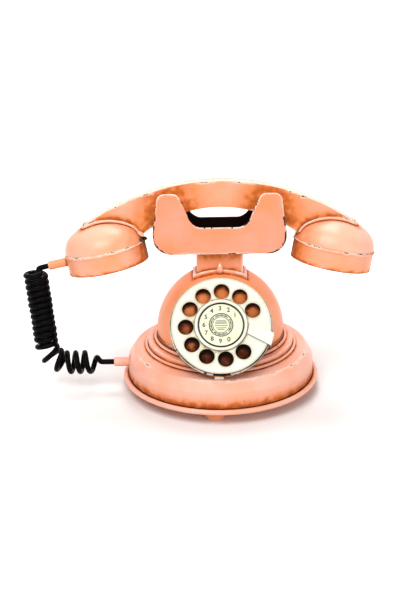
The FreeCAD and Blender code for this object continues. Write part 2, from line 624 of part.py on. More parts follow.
def gear(label, teeth, bore):
    """A straight-toothed gear, its back at height 0. Narrow teeth leave the pair room to turn."""
    pitch_radius = f"tooth_module * {teeth} / 2"
    root = f"({pitch_radius} - tooth_root_depth * tooth_module)"
    tip = f"({pitch_radius} + tooth_tip_height * tooth_module)"
    sunk = f"{root} - tooth_sink * tooth_module"
    body = tube(label, bore, root, "0", "gear_thickness")
    half_root = "tooth_root_half * tooth_module"
    half_tip = "tooth_tip_half * tooth_module"
    sketch = outline(body, "XY_Plane", [
        (sunk, f"-{half_root}"),
        (tip, f"-{half_tip}"),
        (tip, half_tip),
        (sunk, half_root),
    ], "tooth")
    pad = body.newObject("PartDesign::Pad", label + "_tooth_pad")
    pad.Profile = sketch
    bind(pad, Length="gear_thickness")
    doc.recompute()
    pattern = body.newObject("PartDesign::PolarPattern", label + "_teeth")
    pattern.Originals = [pad]
    pattern.Axis = (sketch, ["N_Axis"])
    pattern.Angle = 360
    pattern.Occurrences = teeth
    body.Tip = pattern
    return body


def make_dial_works():
    """Main gear on the carrier's sleeve, and the governor that it drives."""
    keep(in_dial(gear("main_gear", GEAR_TEETH, "sleeve_radius + wire_seat"), out=GEAR_BACK))
    keep(in_dial(gear("governor_pinion", PINION_TEETH, "spindle_radius + wire_seat"),
                 up="gear_distance", out=GEAR_BACK))
    low = f"({DRUM_FLOOR} + seat_gap)"
    weights_top = f"({low} + seat_gap + governor_length)"
    keep(in_dial(turned("governor_spindle", [
        ("0", low),
        ("spindle_radius", low),
        ("spindle_radius", f"{low} + seat_gap"),
        ("governor_radius", f"{low} + seat_gap"),
        ("governor_radius", weights_top),
        ("spindle_radius", weights_top),
        ("spindle_radius", f"{GEAR_FRONT} + seat_gap"),
        ("0", f"{GEAR_FRONT} + seat_gap"),
    ]), up="gear_distance"))
    inner = "(governor_radius + slide_gap)"
    web = f"({weights_top} + seat_gap)"
    keep(in_dial(turned("governor_cup", [
        (inner, DRUM_FLOOR),
        (f"{inner} + sheet_wall", DRUM_FLOOR),
        (f"{inner} + sheet_wall", f"{web} + sheet_wall"),
        ("spindle_radius + shaft_fit", f"{web} + sheet_wall"),
        ("spindle_radius + shaft_fit", web),
        (inner, web),
    ]), up="gear_distance"))


def neck_box(label, gap, low, high):
    """The neck's block, grown by a gap."""
    half_width = f"(neck_width / 2 + {gap})"
    half_depth = f"(neck_depth / 2 + {gap})"
    return box(label, (f"-{half_width}", half_width), (f"-{half_depth}", half_depth), (low, high))


def make_neck():
    """The neck's tube, the wire frame on the dome round it and the teardrop clasp on that frame."""
    keep(cut("neck", neck_box("neck_blank", "0", "neck_foot_height", "cradle_foot_height"),
             neck_box("neck_core", "(-sheet_wall)", "neck_foot_height", "cradle_foot_height")))
    outer = "(trim_gap + trim_wire)"
    frame = cut("trim_prism", neck_box("trim_outer", outer, "dome_centre_height", "cradle_foot_height"),
                neck_box("trim_inner", "trim_gap", "dome_centre_height", "cradle_foot_height"))
    skin = cut("trim_skin",
               primitive("Sphere", "trim_ball", z="dome_centre_height", Radius="dome_radius + trim_wire"),
               primitive("Sphere", "trim_dome", z="dome_centre_height", Radius="dome_radius + wire_seat"))
    trim = keep(doc.addObject("Part::Common", "neck_trim"))
    trim.Base = frame
    trim.Tool = skin
    front = f"(neck_depth / 2 + {outer})"
    clasp = keep(turned("neck_clasp", [
        ("0", "0"),
        ("clasp_radius", "clasp_radius", "clasp_radius", "left"),
        ("0", "clasp_height"),
    ], angle="180"))
    clasp.Placement = FreeCAD.Placement(Vector(), FreeCAD.Rotation(Z_AXIS, 180))
    place_at(clasp, "0", f"-{front}", f"dome_centre_height + sqrt(dome_radius^2 - {front}^2) + seat_gap")


def make_hook_switch():
    """Plunger under the neck, its spring, and the bracket that guides it."""
    shelf_foot = "(hook_shelf_height - hook_shelf_thickness)"
    flange = neck_box("plunger_flange", "(-sheet_wall - wire_seat)", "neck_foot_height",
                      "neck_foot_height + hook_shelf_thickness")
    stem = rod("plunger_stem", "plunger_radius", f"{shelf_foot} - hook_travel - hook_shelf_thickness",
               "neck_foot_height", y="plunger_back")
    keep(fuse("hook_plunger", flange, stem))
    half = "hook_shelf_width / 2"
    wall = ("hook_post_back", "hook_post_back + hook_shelf_thickness")
    post = box("hook_post", (f"-{half}", half), wall, (PLATE_TOP, "hook_shelf_height"))
    shelf = box("hook_shelf", (f"-{half}", half), (f"plunger_back - {half}", "hook_post_back"),
                (shelf_foot, "hook_shelf_height"))
    guide = rod("hook_guide", "plunger_radius + shaft_fit", PLATE_TOP, "neck_foot_height", y="plunger_back")
    keep(cut("hook_bracket", fuse("hook_bracket_blank", post, shelf), guide))
    keep(box("hook_contacts", ("plunger_radius + slide_gap + shaft_fit", half),
             ("hook_post_back - hook_shelf_width / 3", "hook_post_back"),
             (f"{shelf_foot} - hook_shelf_width / 2", shelf_foot)))


def cradle_outline(top):
    """The cradle's plate up to a height: rounded lower corners, two horns and a notch between them."""
    def half(side, points):
        sign = "" if side > 0 else "-"
        return [(f"{sign}({point[0]})",) + tuple(point[1:]) for point in points]

    corner_top = "cradle_foot_height + cradle_corner"
    notch_side = "notch_half_width + notch_rise"
    notch_bend_top = "notch_height + notch_rise"
    outer_bend = ("cradle_top_half_width", f"{top} - horn_corner")
    outer_top = ("cradle_top_half_width - horn_corner", top)
    # The inner edge slopes, so the horn's inner corner turns by less than a right angle
    inner_top = ("horn_inner + 0.7 * horn_corner", top)
    inner_bend = ("horn_inner - 0.23 * horn_corner", f"{top} - 0.67 * horn_corner")
    rising = half(1, [
        ("cradle_half_width - cradle_corner", "cradle_foot_height"),
        ("cradle_half_width", corner_top, "cradle_corner", "left"),
        outer_bend,
        outer_top + ("horn_corner", "left"),
        inner_top,
        inner_bend + ("horn_corner", "left"),
        (notch_side, notch_bend_top),
        ("notch_half_width", "notch_height", "notch_corner", "right"),
    ])
    falling = half(-1, [
        ("notch_half_width", "notch_height"),
        (notch_side, notch_bend_top, "notch_corner", "right"),
        inner_bend,
        inner_top + ("horn_corner", "left"),
        outer_top,
        outer_bend + ("horn_corner", "left"),
        ("cradle_half_width", corner_top),
        ("cradle_half_width - cradle_corner", "cradle_foot_height", "cradle_corner", "left"),
    ])
    return rising + falling


def make_cradle():
    """Front plate, rear plate and the band that joins their edges below the handset."""
    front = keep(plate("cradle_front", "XZ_Plane", cradle_outline("cradle_top_height"), "sheet_wall"))
    place_at(front, y="sheet_wall - cradle_depth / 2")
    low_horns = cradle_outline("(cradle_top_height - rear_horn_drop)")
    rear = keep(plate("cradle_rear", "XZ_Plane", low_horns, "sheet_wall"))
    place_at(rear, y="cradle_depth / 2")
    corner_top = "cradle_foot_height + cradle_corner"
    inner_half = "(cradle_half_width - sheet_wall)"
    bend = "(cradle_half_width - cradle_corner)"
    inner_bend = "cradle_corner - sheet_wall"
    floor = "cradle_foot_height + sheet_wall"
    keep(plate("cradle_band", "XZ_Plane", [
        ("-cradle_half_width", "band_top_height"),
        ("-cradle_half_width", corner_top),
        (f"-{bend}", "cradle_foot_height", "cradle_corner", "left"),
        (bend, "cradle_foot_height"),
        ("cradle_half_width", corner_top, "cradle_corner", "left"),
        ("cradle_half_width", "band_top_height"),
        (inner_half, "band_top_height"),
        (inner_half, corner_top),
        (bend, floor, inner_bend, "right"),
        (f"-{bend}", floor),
        (f"-{inner_half}", corner_top, inner_bend, "right"),
        (f"-{inner_half}", "band_top_height"),
    ], "cradle_depth - 2 * sheet_wall", symmetric=True))


def in_hand(thing):
    """Leans a piece that is modelled upright with the handset."""
    thing.Placement = FreeCAD.Placement(Vector(), FreeCAD.Rotation(X_AXIS, -size("handset_lean")))
    return place_at(thing, "0", "-handset_rest_height * sin(handset_lean)",
                    "handset_rest_height * (1 - cos(handset_lean))")


def at_cup(thing, side):
    """Puts a piece that is modelled about an upright axis on a cup of the upright handset."""
    thing.Placement = FreeCAD.Placement(Vector(), FreeCAD.Rotation(Y_AXIS, side * size("cup_tilt")))
    return place_at(thing, f"{side} * cup_offset", "0", "cup_seam_height")


def in_cup(thing, side):
    """Puts a piece that is modelled about an upright axis on a cup of the leaning handset."""
    lean = FreeCAD.Rotation(X_AXIS, -size("handset_lean"))
    thing.Placement = FreeCAD.Placement(
        Vector(), lean * FreeCAD.Rotation(Y_AXIS, side * size("cup_tilt")))
    drop = "(cup_seam_height - handset_rest_height)"
    return place_at(thing, f"{side} * cup_offset", f"{drop} * sin(handset_lean)",
                    f"handset_rest_height + {drop} * cos(handset_lean)")


# The cup's dome: a shoulder arc that starts upright at the seam and runs into a flatter crown
KNUCKLE_ACROSS = "(cup_radius - cup_knuckle)"
CROWN_RADIUS = (f"(({KNUCKLE_ACROSS}^2 + cup_dome_height^2 - cup_knuckle^2)"
                " / (2 * (cup_dome_height - cup_knuckle)))")
CROWN_SHARE = f"(1 / ({CROWN_RADIUS} - cup_knuckle))"


def dome_arcs(grow):
    """Seam, shoulder and crown points of the dome, grown outwards by a formula."""
    reach = f"({CROWN_RADIUS} + {grow})"
    crown_centre = f"(cup_dome_height - {CROWN_RADIUS})"
    joint = (f"{reach} * {KNUCKLE_ACROSS} * {CROWN_SHARE}",
             f"{crown_centre} - {reach} * {crown_centre} * {CROWN_SHARE}")
    return [
        (f"cup_radius + {grow}", "0"),
        joint + (f"cup_knuckle + {grow}", "left"),
        ("0", f"cup_dome_height + {grow}", reach, "left"),
    ]


def dome_form(label, grow):
    """The dome's outer form as a solid, used to seat what lies on it."""
    return turned(label, [("0", "0")] + dome_arcs(grow))


def make_cup(side, name):
    """Dome, cap, capsule and wire rib of one end of the handset."""
    seam, shoulder, crown = dome_arcs("0")
    inner_seam, inner_shoulder, inner_crown = dome_arcs("(-sheet_wall)")
    keep(in_cup(turned(f"{name}_shell", [
        inner_seam + (inner_shoulder[2], "right"),
        seam,
        shoulder,
        crown,
        inner_crown[:2],
        inner_shoulder[:2] + (inner_crown[2], "right"),
    ]), side))
    make_cap(side, name)
    capsule_foot = "(sheet_wall - cap_height)"
    keep(in_cup(tube(f"{name}_capsule", "0", "capsule_radius", capsule_foot,
                     f"{capsule_foot} + capsule_height"), side))
    make_rib(side, name)


def make_cap(side, name):
    """The cap: a flat-faced pan with sound holes and a bead round its upper edge."""
    pan = turned(f"{name}_pan", [
        ("0", "-cap_height"),
        ("cup_radius", "-cap_height"),
        ("cup_radius", "0"),
        ("cup_radius - sheet_wall", "0"),
        ("cup_radius - sheet_wall", "sheet_wall - cap_height"),
        ("0", "sheet_wall - cap_height"),
    ])
    bead = primitive("Torus", f"{name}_bead", z="-cap_bead_radius",
                     Radius1="cup_radius", Radius2="cap_bead_radius")
    holes = [rod(f"{name}_hole_0", "cap_hole_radius", "-2 * cap_height", "0")]
    for number in range(1, CAP_HOLES):
        angle = 360 * number / (CAP_HOLES - 1)
        holes.append(rod(f"{name}_hole_{number}", "cap_hole_radius", "-2 * cap_height", "0",
                         f"cap_hole_circle * cos({angle})", f"cap_hole_circle * sin({angle})"))
    blank = fuse(f"{name}_cap_blank", pan, bead)
    keep(in_cup(cut(f"{name}_cap", blank, group(f"{name}_holes", holes)), side))


def make_rib(side, name):
    """The wire that frames the bar's end where it lies on the cup."""
    skin = cut(f"{name}_rib_skin", at_cup(dome_form(f"{name}_rib_outer", "rib_wire"), side),
               at_cup(dome_form(f"{name}_rib_inner", "wire_seat"), side))

    def footprint(label, gap):
        near = f"{side} * rib_inner"
        far = f"{side} * (bar_reach + {gap})"
        across = (near, far) if side > 0 else (far, near)
        half_depth = f"(bar_depth / 2 + {gap})"
        return box(f"{name}_{label}", across, (f"-{half_depth}", half_depth),
                   ("cup_seam_height", "bar_top_height"))

    frame = cut(f"{name}_rib_frame", footprint("rib_block", "wire_seat + rib_wire"),
                footprint("rib_core", "wire_seat"))
    rib = doc.addObject("Part::Common", f"{name}_rib")
    rib.Base = frame
    rib.Tool = skin
    keep(in_hand(rib))


def bar_outline(inset):
    """The bar seen from the front, drawn in by a formula."""
    low_radius = f"(bar_low_radius + {inset})"
    top_radius = f"(bar_top_radius - {inset})"
    low_end = (f"bar_top_height - bar_height + {inset} - {low_radius}"
               f" + sqrt({low_radius}^2 - bar_low_reach^2)")
    end = f"(bar_reach - {inset})"
    top_end = f"(bar_top_height - {inset} - {top_radius} + sqrt({top_radius}^2 - {end}^2))"
    dip = f"{top_end} - bar_end_drop"
    return [
        ("-bar_low_reach", low_end),
        ("bar_low_reach", low_end, low_radius, "right"),
        (end, dip),
        (end, top_end),
        (f"-{end}", top_end, top_radius, "left"),
        (f"-{end}", dip),
    ]


def make_bar():
    """The hollow arched bar, cut to sit on the two cups."""
    blank = plate("bar_blank", "XZ_Plane", bar_outline("0"), "bar_depth", symmetric=True)
    core = plate("bar_core", "XZ_Plane", bar_outline("sheet_wall"),
                 "bar_depth - 2 * sheet_wall", symmetric=True)
    seats = [at_cup(dome_form(f"bar_seat_{number}", "wire_seat"), side)
             for number, side in enumerate((-1, 1))]
    keep(in_hand(cut("handset_bar", blank, core, *seats)))


def make_handset_gland():
    """The tube on the left cup's side that the cord comes out of."""
    blank = primitive("Cylinder", "handset_gland_blank", x="lap - cup_radius", z="-handset_gland_drop",
                      Radius="handset_gland_radius", Height="handset_gland_length + lap")
    lay(blank, Y_AXIS, -90)
    seat = tube("handset_gland_seat", "0", "cup_radius + wire_seat", "-cap_height", "cup_dome_height")
    return keep(in_cup(cut("handset_gland", blank, seat), -1))


# The cord hangs in the plane of the handset's gland, so the base gland lies in that plane too
GLAND_END_HEIGHT = ("(cup_seam_height - handset_gland_drop * cos(cup_tilt)"
                    " - (cup_radius + handset_gland_length) * sin(cup_tilt))")
CORD_Y = f"(({GLAND_END_HEIGHT} - handset_rest_height) * sin(handset_lean))"


def biarc(start, start_way, end, end_way):
    """Two arcs that join two points and leave each along its own direction."""
    span = end - start
    sum_way = start_way + end_way
    square = 2 * (1 - start_way.dot(end_way))
    along = span.dot(sum_way)
    if square < 1e-9:
        handle = span.dot(span) / (2 * along)
    else:
        handle = (math.sqrt(along ** 2 + square * span.dot(span)) - along) / square
    joint = (start + end + (start_way - end_way) * handle) * 0.5
    return [arc_from(start, start_way, joint), arc_from(end, end_way * -1, joint, backwards=True)]


def arc_from(start, way, end, backwards=False):
    """The arc that leaves a point along a direction and ends at another point."""
    chord = end - start
    aside = chord - way * chord.dot(way)
    if aside.Length < 1e-6:
        return Part.LineSegment(end, start) if backwards else Part.LineSegment(start, end)
    radius = chord.dot(chord) / (2 * aside.Length)
    centre = start + aside.normalize() * radius
    middle = centre + ((start + end) * 0.5 - centre).normalize() * radius
    return Part.Arc(end, middle, start) if backwards else Part.Arc(start, middle, end)


def wire_tube(points, ways, radius):
    """A round wire along biarcs through points, with the directions there."""
    edges = []
    for number in range(len(points) - 1):
        for curve in biarc(points[number], ways[number], points[number + 1], ways[number + 1]):
            edges.append(curve.toShape())
    spine = Part.Wire(edges)
    ring = Part.Wire([Part.Circle(points[0], ways[0], radius).toShape()])
    return spine.makePipeShell([ring], True, False), spine


def least_gap(spine, radius, skip):
    """Least distance between stretches of one wire that lie further apart along it than a length."""
    step = radius / 4
    points = spine.discretize(Distance=step)
    cells = {}
    for number, point in enumerate(points):
        cells.setdefault(tuple(int(value // (4 * radius)) for value in point), []).append(number)
    least = 1e9
    beside = (-1, 0, 1)
    for (a, b, c), members in cells.items():
        near = [other for i in beside for j in beside for k in beside
                for other in cells.get((a + i, b + j, c + k), ())]
        for number in members:
            for other in near:
                if (other - number) * step > skip:
                    least = min(least, points[number].distanceToPoint(points[other]))
    return least - 2 * radius


def cord_path(gland_end, gland_way):
    """Points and directions of the curly cord, a quarter turn apart.

    The cord leaves the handset's gland, winds out from the curls' middle line, hangs in close curls,
    turns level in looser ones and runs out straight into the base gland.
    """
    radius = size("coil_radius")
    bend = size("coil_bend")
    level = size("base_gland_height")
    slant = size("coil_slant")
    stub = gland_end + gland_way * size("coil_stub")
    bend_middle = stub.x + slant + bend
    lead_drop = size("coil_lead_drop")
    hang_top = stub.z - lead_drop
    hang_length = hang_top - (level + bend)
    bend_length = bend * math.pi / 2
    level_length = -size("coil_level_end") - bend_middle
    runs = [(HANGING_CURLS, hang_length), (BEND_CURLS, bend_length), (LEVEL_CURLS, level_length),
            (1, size("coil_lead_out"))]
    turns_in_all = sum(turns for turns, length in runs)

    def along(turn):
        total = 0
        for turns, length in runs:
            total += length * max(0, min(1, turn / turns))
            turn -= turns
        return total

    def middle_line(length):
        if length < hang_length:
            across = stub.x + slant * length / hang_length
            return Vector(across, stub.y, hang_top - length), Vector(1, 0, 0)
        if length < hang_length + bend_length:
            angle = (length - hang_length) / bend
            side = Vector(math.cos(angle), 0, math.sin(angle))
            return Vector(bend_middle, stub.y, level + bend) - side * bend, side
        return Vector(bend_middle + length - hang_length - bend_length, stub.y, level), Vector(0, 0, 1)

    def curl_point(turn):
        centre, side = middle_line(along(turn))
        left_over = turns_in_all - turn
        share = 1 if left_over > 1 else (1 - math.cos(math.pi * max(0, left_over))) / 2
        angle = 2 * math.pi * turn - math.pi / 2
        return centre + (side * math.cos(angle) + Y_AXIS * math.sin(angle)) * (radius * share)

    def lead_point(turn):
        angle = 2 * math.pi * turn
        return stub + Vector(-math.sin(angle) * radius / 2, (math.cos(angle) - 1) * radius / 2,
                             -lead_drop * 2 * turn)

    points = [gland_end, stub]
    ways = [gland_way, gland_way]
    points.append(lead_point(0.25))
    ways.append((lead_point(0.25 + NUDGE) - lead_point(0.25 - NUDGE)).normalize())
    for quarter in range(4 * turns_in_all):
        turn = quarter / 4
        points.append(curl_point(turn))
        ways.append((curl_point(turn + NUDGE) - curl_point(max(0, turn - NUDGE))).normalize())
    tail = Vector(bend_middle + level_length + size("coil_lead_out"), stub.y, level)
    points += [tail, Vector(-size("base_gland_reach"), stub.y, level)]
    ways += [X_AXIS, X_AXIS]
    return points, ways


def make_cord(gland):
    """The curly cord from the handset to the base, as one unbroken tube."""
    doc.recompute()
    reach = -size("cup_radius + handset_gland_length")
    gland_end = gland.Placement.multVec(Vector(reach, 0, -size("handset_gland_drop")))
    gland_way = gland.Placement.Rotation.multVec(X_AXIS * -1)
    points, ways = cord_path(gland_end, gland_way)
    radius = size("cord_radius")
    shape, spine = wire_tube(points, ways, radius)
    cord = keep(doc.addObject("Part::Feature", "handset_cord"))
    cord.Shape = shape
    cord.Placement = FreeCAD.Placement()
    tightest = min(edge.Curve.Radius for edge in spine.Edges if hasattr(edge.Curve, "Radius"))
    section = math.pi * radius ** 2
    print(f"cord: length {spine.Length:.1f}, tightest bend {tightest:.2f},"
          f" least gap {least_gap(spine, radius, 4 * math.pi * radius):.2f},"
          f" volume share {shape.Volume / (section * spine.Length):.4f}")


def make_hook_spring():
    """The spring between the hook bracket and the plunger."""
    wire = size("hook_spring_wire")
    radius = size("hook_spring_radius")
    low = size("hook_shelf_height + seat_gap") + wire
    high = size("neck_foot_height - seat_gap") - wire
    turns = round((high - low) / size("hook_spring_pitch"))
    axis = Vector(0, size("plunger_back"), 0)
    rise = (high - low) / (2 * math.pi * turns)
    points = []
    ways = []
    for quarter in range(4 * turns + 1):
        angle = math.pi / 2 * quarter
        around = Vector(math.cos(angle), math.sin(angle), 0)
        points.append(axis + around * radius + Z_AXIS * (low + rise * angle))
        ways.append((Vector(-around.y, around.x, 0) * radius + Z_AXIS * rise).normalize())
    shape, spine = wire_tube(points, ways, wire)
    spring = keep(doc.addObject("Part::Feature", "hook_spring"))
    spring.Shape = shape
    spring.Placement = FreeCAD.Placement()


def make_ringer():
    """Two gongs on posts, and the coils, frame and clapper between them."""
    sphere = "((gong_radius^2 + gong_height^2) / (2 * gong_height))"
    bore = "(gong_post_radius + shaft_fit)"
    rim_height = f"({PLATE_TOP} + gong_lift)"

    def crown(radius, across):
        return f"(sqrt({radius}^2 - ({across})^2) - {sphere} + gong_height)"

    inner = f"({sphere} - gong_wall)"
    inner_rim = f"sqrt({inner}^2 - ({sphere} - gong_height)^2)"
    posts = []
    for side, name in ((-1, "left_gong"), (1, "right_gong")):
        gong = keep(turned(name, [
            (inner_rim, "0", inner, "right"),
            ("gong_radius", "0"),
            (bore, crown(sphere, bore), sphere, "left"),
            (bore, crown(inner, bore)),
        ]))
        place_at(gong, f"{side} * gong_across", "gong_back", rim_height)
        shoulder = f"({rim_height} + {crown(inner, bore)} - seat_gap)"
        stem = rod(f"{name}_stem", "gong_post_radius", PLATE_TOP, f"{rim_height} + gong_height + gong_wall",
                   f"{side} * gong_across", "gong_back")
        foot = rod(f"{name}_foot", "gong_post_radius + gong_wall", PLATE_TOP, shoulder,
                   f"{side} * gong_across", "gong_back")
        posts.append(fuse(f"{name}_post", stem, foot))
    keep(group("gong_posts", posts))
    frame_top = f"({PLATE_TOP} + ringer_frame_thickness)"
    half = "(coil_tower_across + coil_tower_radius)"
    keep(box("ringer_frame", (f"-{half}", half),
             ("clapper_pivot_back - coil_tower_radius", "coil_tower_back + coil_tower_radius"),
             (PLATE_TOP, frame_top)))
    keep(group("ringer_coils", [
        rod(f"ringer_coil_{number}", "coil_tower_radius", frame_top, f"{frame_top} + coil_tower_height",
            f"{side} * coil_tower_across", "coil_tower_back")
        for number, side in enumerate((-1, 1))]))
    make_clapper(frame_top)


def make_clapper(frame_top):
    """The clapper on its pin: a hub, an arm and a ball that swings between the gongs."""
    centre = f"({PLATE_TOP} + clapper_lift)"
    half = "clapper_arm_width / 2"
    hub_low = f"({centre} - clapper_arm_width)"
    hub_high = f"({centre} + clapper_arm_width)"
    pin = rod("clapper_pin_stem", "clapper_pin_radius", frame_top, f"{hub_high} + clapper_pin_radius",
              y="clapper_pivot_back")
    seat = rod("clapper_pin_seat", "2 * clapper_pin_radius", frame_top, f"{hub_low} - seat_gap",
               y="clapper_pivot_back")
    keep(fuse("clapper_pin", pin, seat))
    hub = rod("clapper_hub", "2 * clapper_pin_radius", hub_low, hub_high, y="clapper_pivot_back")
    arm = box("clapper_arm", (f"-{half}", half), ("gong_back", "clapper_pivot_back"),
              (f"{centre} - {half}", f"{centre} + {half}"))
    ball = primitive("Sphere", "clapper_ball", y="gong_back", z=centre, Radius="clapper_ball_radius")
    bore = rod("clapper_bore", "clapper_pin_radius + shaft_fit", PLATE_TOP, f"{hub_high} + clapper_lift",
               y="clapper_pivot_back")
    keep(cut("clapper", fuse("clapper_blank", hub, arm, ball), bore))


def make_circuit():
    """Induction coil, capacitor and terminal block on the front of the base plate."""
    coil = keep(primitive("Cylinder", "induction_coil", x="-induction_length / 2", y="-works_front",
                          z=f"{PLATE_TOP} + induction_radius + wire_seat",
                          Radius="induction_radius", Height="induction_length"))
    lay(coil, Y_AXIS, 90)
    depth = ("-works_front - capacitor_width / 2", "-works_front + capacitor_width / 2")
    near = "(induction_length / 2 + capacitor_width / 2)"
    far = f"({near} + capacitor_width)"
    keep(box("capacitor", (f"-{far}", f"-{near}"), depth, (PLATE_TOP, f"{PLATE_TOP} + capacitor_height")))
    keep(box("terminal_block", (near, far), depth, (PLATE_TOP, f"{PLATE_TOP} + terminal_height")))


def check_and_write():
    """Checks every object of the document, then writes one file for each node."""
    doc.recompute()
    for thing in doc.Objects:
        if "Invalid" in thing.State or "Error" in thing.State:
            raise RuntimeError(f"{thing.Name} failed: {thing.State}")
    os.makedirs("parts", exist_ok=True)
    for node in nodes:
        if node.Shape.isNull() or not node.Shape.isValid() or not node.Shape.Solids:
            raise RuntimeError(f"{node.Label} has no valid solid")
    for node in nodes:
        node.Shape.exportStep(f"parts/{node.Label}.step")
    print(f"{len(nodes)} nodes written")


make_feet()
make_base_shells()
make_base_gland()
make_dome()
make_dial_frame()
make_finger_wheel()
make_dial_works()
make_neck()
make_hook_switch()
make_hook_spring()
make_cradle()
make_bar()
make_cup(-1, "earpiece")
make_cup(1, "mouthpiece")
make_cord(make_handset_gland())
make_ringer()
make_circuit()
check_and_write()
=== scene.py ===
import json
import math

import bpy
from bpy.props import FloatProperty, FloatVectorProperty, IntProperty, PointerProperty
from mathutils import Matrix, Vector, noise
from mathutils.bvhtree import BVHTree

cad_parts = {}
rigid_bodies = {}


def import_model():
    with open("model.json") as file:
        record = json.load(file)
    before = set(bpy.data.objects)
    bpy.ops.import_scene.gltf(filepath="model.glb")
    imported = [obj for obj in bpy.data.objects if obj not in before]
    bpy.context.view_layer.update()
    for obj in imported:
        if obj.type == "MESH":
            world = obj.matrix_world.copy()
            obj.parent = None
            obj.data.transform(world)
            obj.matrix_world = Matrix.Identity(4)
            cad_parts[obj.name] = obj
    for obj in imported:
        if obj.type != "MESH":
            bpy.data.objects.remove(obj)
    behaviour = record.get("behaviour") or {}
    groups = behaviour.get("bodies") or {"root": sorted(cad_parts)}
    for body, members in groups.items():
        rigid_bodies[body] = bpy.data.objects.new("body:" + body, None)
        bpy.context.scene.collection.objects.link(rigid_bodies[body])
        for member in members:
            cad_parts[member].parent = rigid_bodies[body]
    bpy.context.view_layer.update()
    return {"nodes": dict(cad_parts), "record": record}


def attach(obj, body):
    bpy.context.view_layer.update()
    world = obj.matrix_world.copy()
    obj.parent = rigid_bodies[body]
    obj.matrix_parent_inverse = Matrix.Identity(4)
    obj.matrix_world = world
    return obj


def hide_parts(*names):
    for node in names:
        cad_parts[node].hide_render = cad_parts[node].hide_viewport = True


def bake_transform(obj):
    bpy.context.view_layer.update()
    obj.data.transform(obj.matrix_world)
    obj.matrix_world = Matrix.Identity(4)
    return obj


bl_info = {
    "name": "Cradle telephone",
    "version": (1, 0, 0),
    "blender": (4, 5, 0),
    "location": "View3D > Sidebar > Telephone",
    "description": "Dresses a rotary cradle telephone in worn painted sheet metal",
    "category": "Object",
}

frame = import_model()
NODES = frame["nodes"]
MM = 0.001


def mm(*values):
    """A point given in millimetres, in metres."""
    return Vector(values) * MM


def linear(hex_colour):
    """An sRGB hex colour as the linear colour that the shaders take."""
    channels = [int(hex_colour[place:place + 2], 16) / 255 for place in (1, 3, 5)]
    return tuple(c / 12.92 if c <= 0.04045 else ((c + 0.055) / 1.055) ** 2.4 for c in channels) + (1.0,)


def within(value):
    """A value kept between 0 and 1."""
    return min(1.0, max(0.0, value))


# Where the dial and the handset stand
DIAL = Matrix.Translation(mm(0, -47.4, 70.4)) @ Matrix.Rotation(math.radians(50), 4, "X")
HAND_REST = mm(0, 0, 133.924)
LEAN = Matrix.Rotation(math.radians(-8), 4, "X")
HAND = Matrix.Translation(HAND_REST) @ LEAN @ Matrix.Translation(-HAND_REST)

# Sizes in mm and angles in degrees of the cups, the dial and the cord
CUP_ACROSS = 87.8
CUP_TILT = 11.5
CUP_RADIUS = 31.0
SEAM_HEIGHT = 117.83
CAP_FLOOR = -15.0
WHEEL_RADIUS = 38.0
HUB_RADIUS = 19.9
HOLE_COUNT = 10
HOLE_CIRCLE = 26.6
HOLE_RADIUS = 5.95
FIRST_HOLE = 25.5
HOLE_STEP = 31.4
PRINT_HEIGHT = 1.12
CORD_DEPTH = -4.54
GLAND_HEIGHT = 22.6


def cup_place(side):
    """The frame of a cup: its seam's middle, with the cup's axis as Z."""
    return HAND @ Matrix.Translation(mm(side * CUP_ACROSS, 0, SEAM_HEIGHT)) @ Matrix.Rotation(
        math.radians(CUP_TILT * side), 4, "Y")


# sRGB colours of the finishes
TONES = {
    "pink": "#F9B9A4",
    "salmon": "#F8AB8C",
    "peach": "#F8A47B",
    "orange": "#F4935F",
    "coral": "#F9A98B",
    "rose": "#F99F82",
    "amber": "#F69264",
    "apricot": "#F69B6B",
    "rust": "#DC7420",
    "deep_rust": "#943C06",
    "soot": "#1E0B05",
    # Pale paint for rubbed edges, and for the painted highlight on faces that look up
    "pale_wear_and_highlight": "#FFEBDA",
    "cream": "#E3E2D2",
    "olive": "#A5965C",
    "card": "#D9DBAD",
    "ink": "#191812",
    "cord": "#040304",
}


def tone_default(name):
    """A colour property's default, from its hex value."""
    return linear(TONES[name])[:3]


class PhoneSizes(bpy.types.PropertyGroup):
    """Sizes of the dressing that a user would change."""
    dent_depth: FloatProperty(
        name="Dents", description="Depth of the hand-worked unevenness of the sheet",
        default=0.22 * MM, min=0, max=1 * MM, unit="LENGTH")
    cord_radius: FloatProperty(
        name="Cord radius", description="Radius of the curly cord",
        default=2.1 * MM, min=1 * MM, max=4 * MM, unit="LENGTH")
    coil_radius: FloatProperty(
        name="Curl radius", description="Radius of the curls to the cord's middle",
        default=7.65 * MM, min=4 * MM, max=15 * MM, unit="LENGTH")
    digit_height: FloatProperty(
        name="Digit height", description="Height of the numbers on the card",
        default=3.4 * MM, min=1 * MM, max=5 * MM, unit="LENGTH")
    steps: IntProperty(
        name="Steps", description="Faces round a turned piece", default=128, min=24, max=256)


class PhoneTones(bpy.types.PropertyGroup):
    """Colours of the finishes."""
    pink: FloatVectorProperty(
        name="Pink paint", description="Colour of the paint", subtype="COLOR", size=3,
        default=tone_default("pink"), min=0, max=1)
    rust: FloatVectorProperty(
        name="Patina", description="Colour of the brown patina in the corners", subtype="COLOR", size=3,
        default=tone_default("rust"), min=0, max=1)
    cream: FloatVectorProperty(
        name="Cream paint", description="Colour of the dial's paint", subtype="COLOR", size=3,
        default=tone_default("cream"), min=0, max=1)


def sizes():
    """The size settings of the scene."""
    return bpy.context.scene.phone_sizes


def tones():
    """The colour settings of the scene."""
    return bpy.context.scene.phone_tones


# Materials

def node(tree, kind, inputs=None, **settings):
    """Adds a node with its settings, its values and its links."""
    made = tree.nodes.new(kind)
    for name, value in settings.items():
        setattr(made, name, value)
    for key, value in (inputs or {}).items():
        if isinstance(value, bpy.types.NodeSocket):
            tree.links.new(value, made.inputs[key])
        else:
            made.inputs[key].default_value = value
    return made


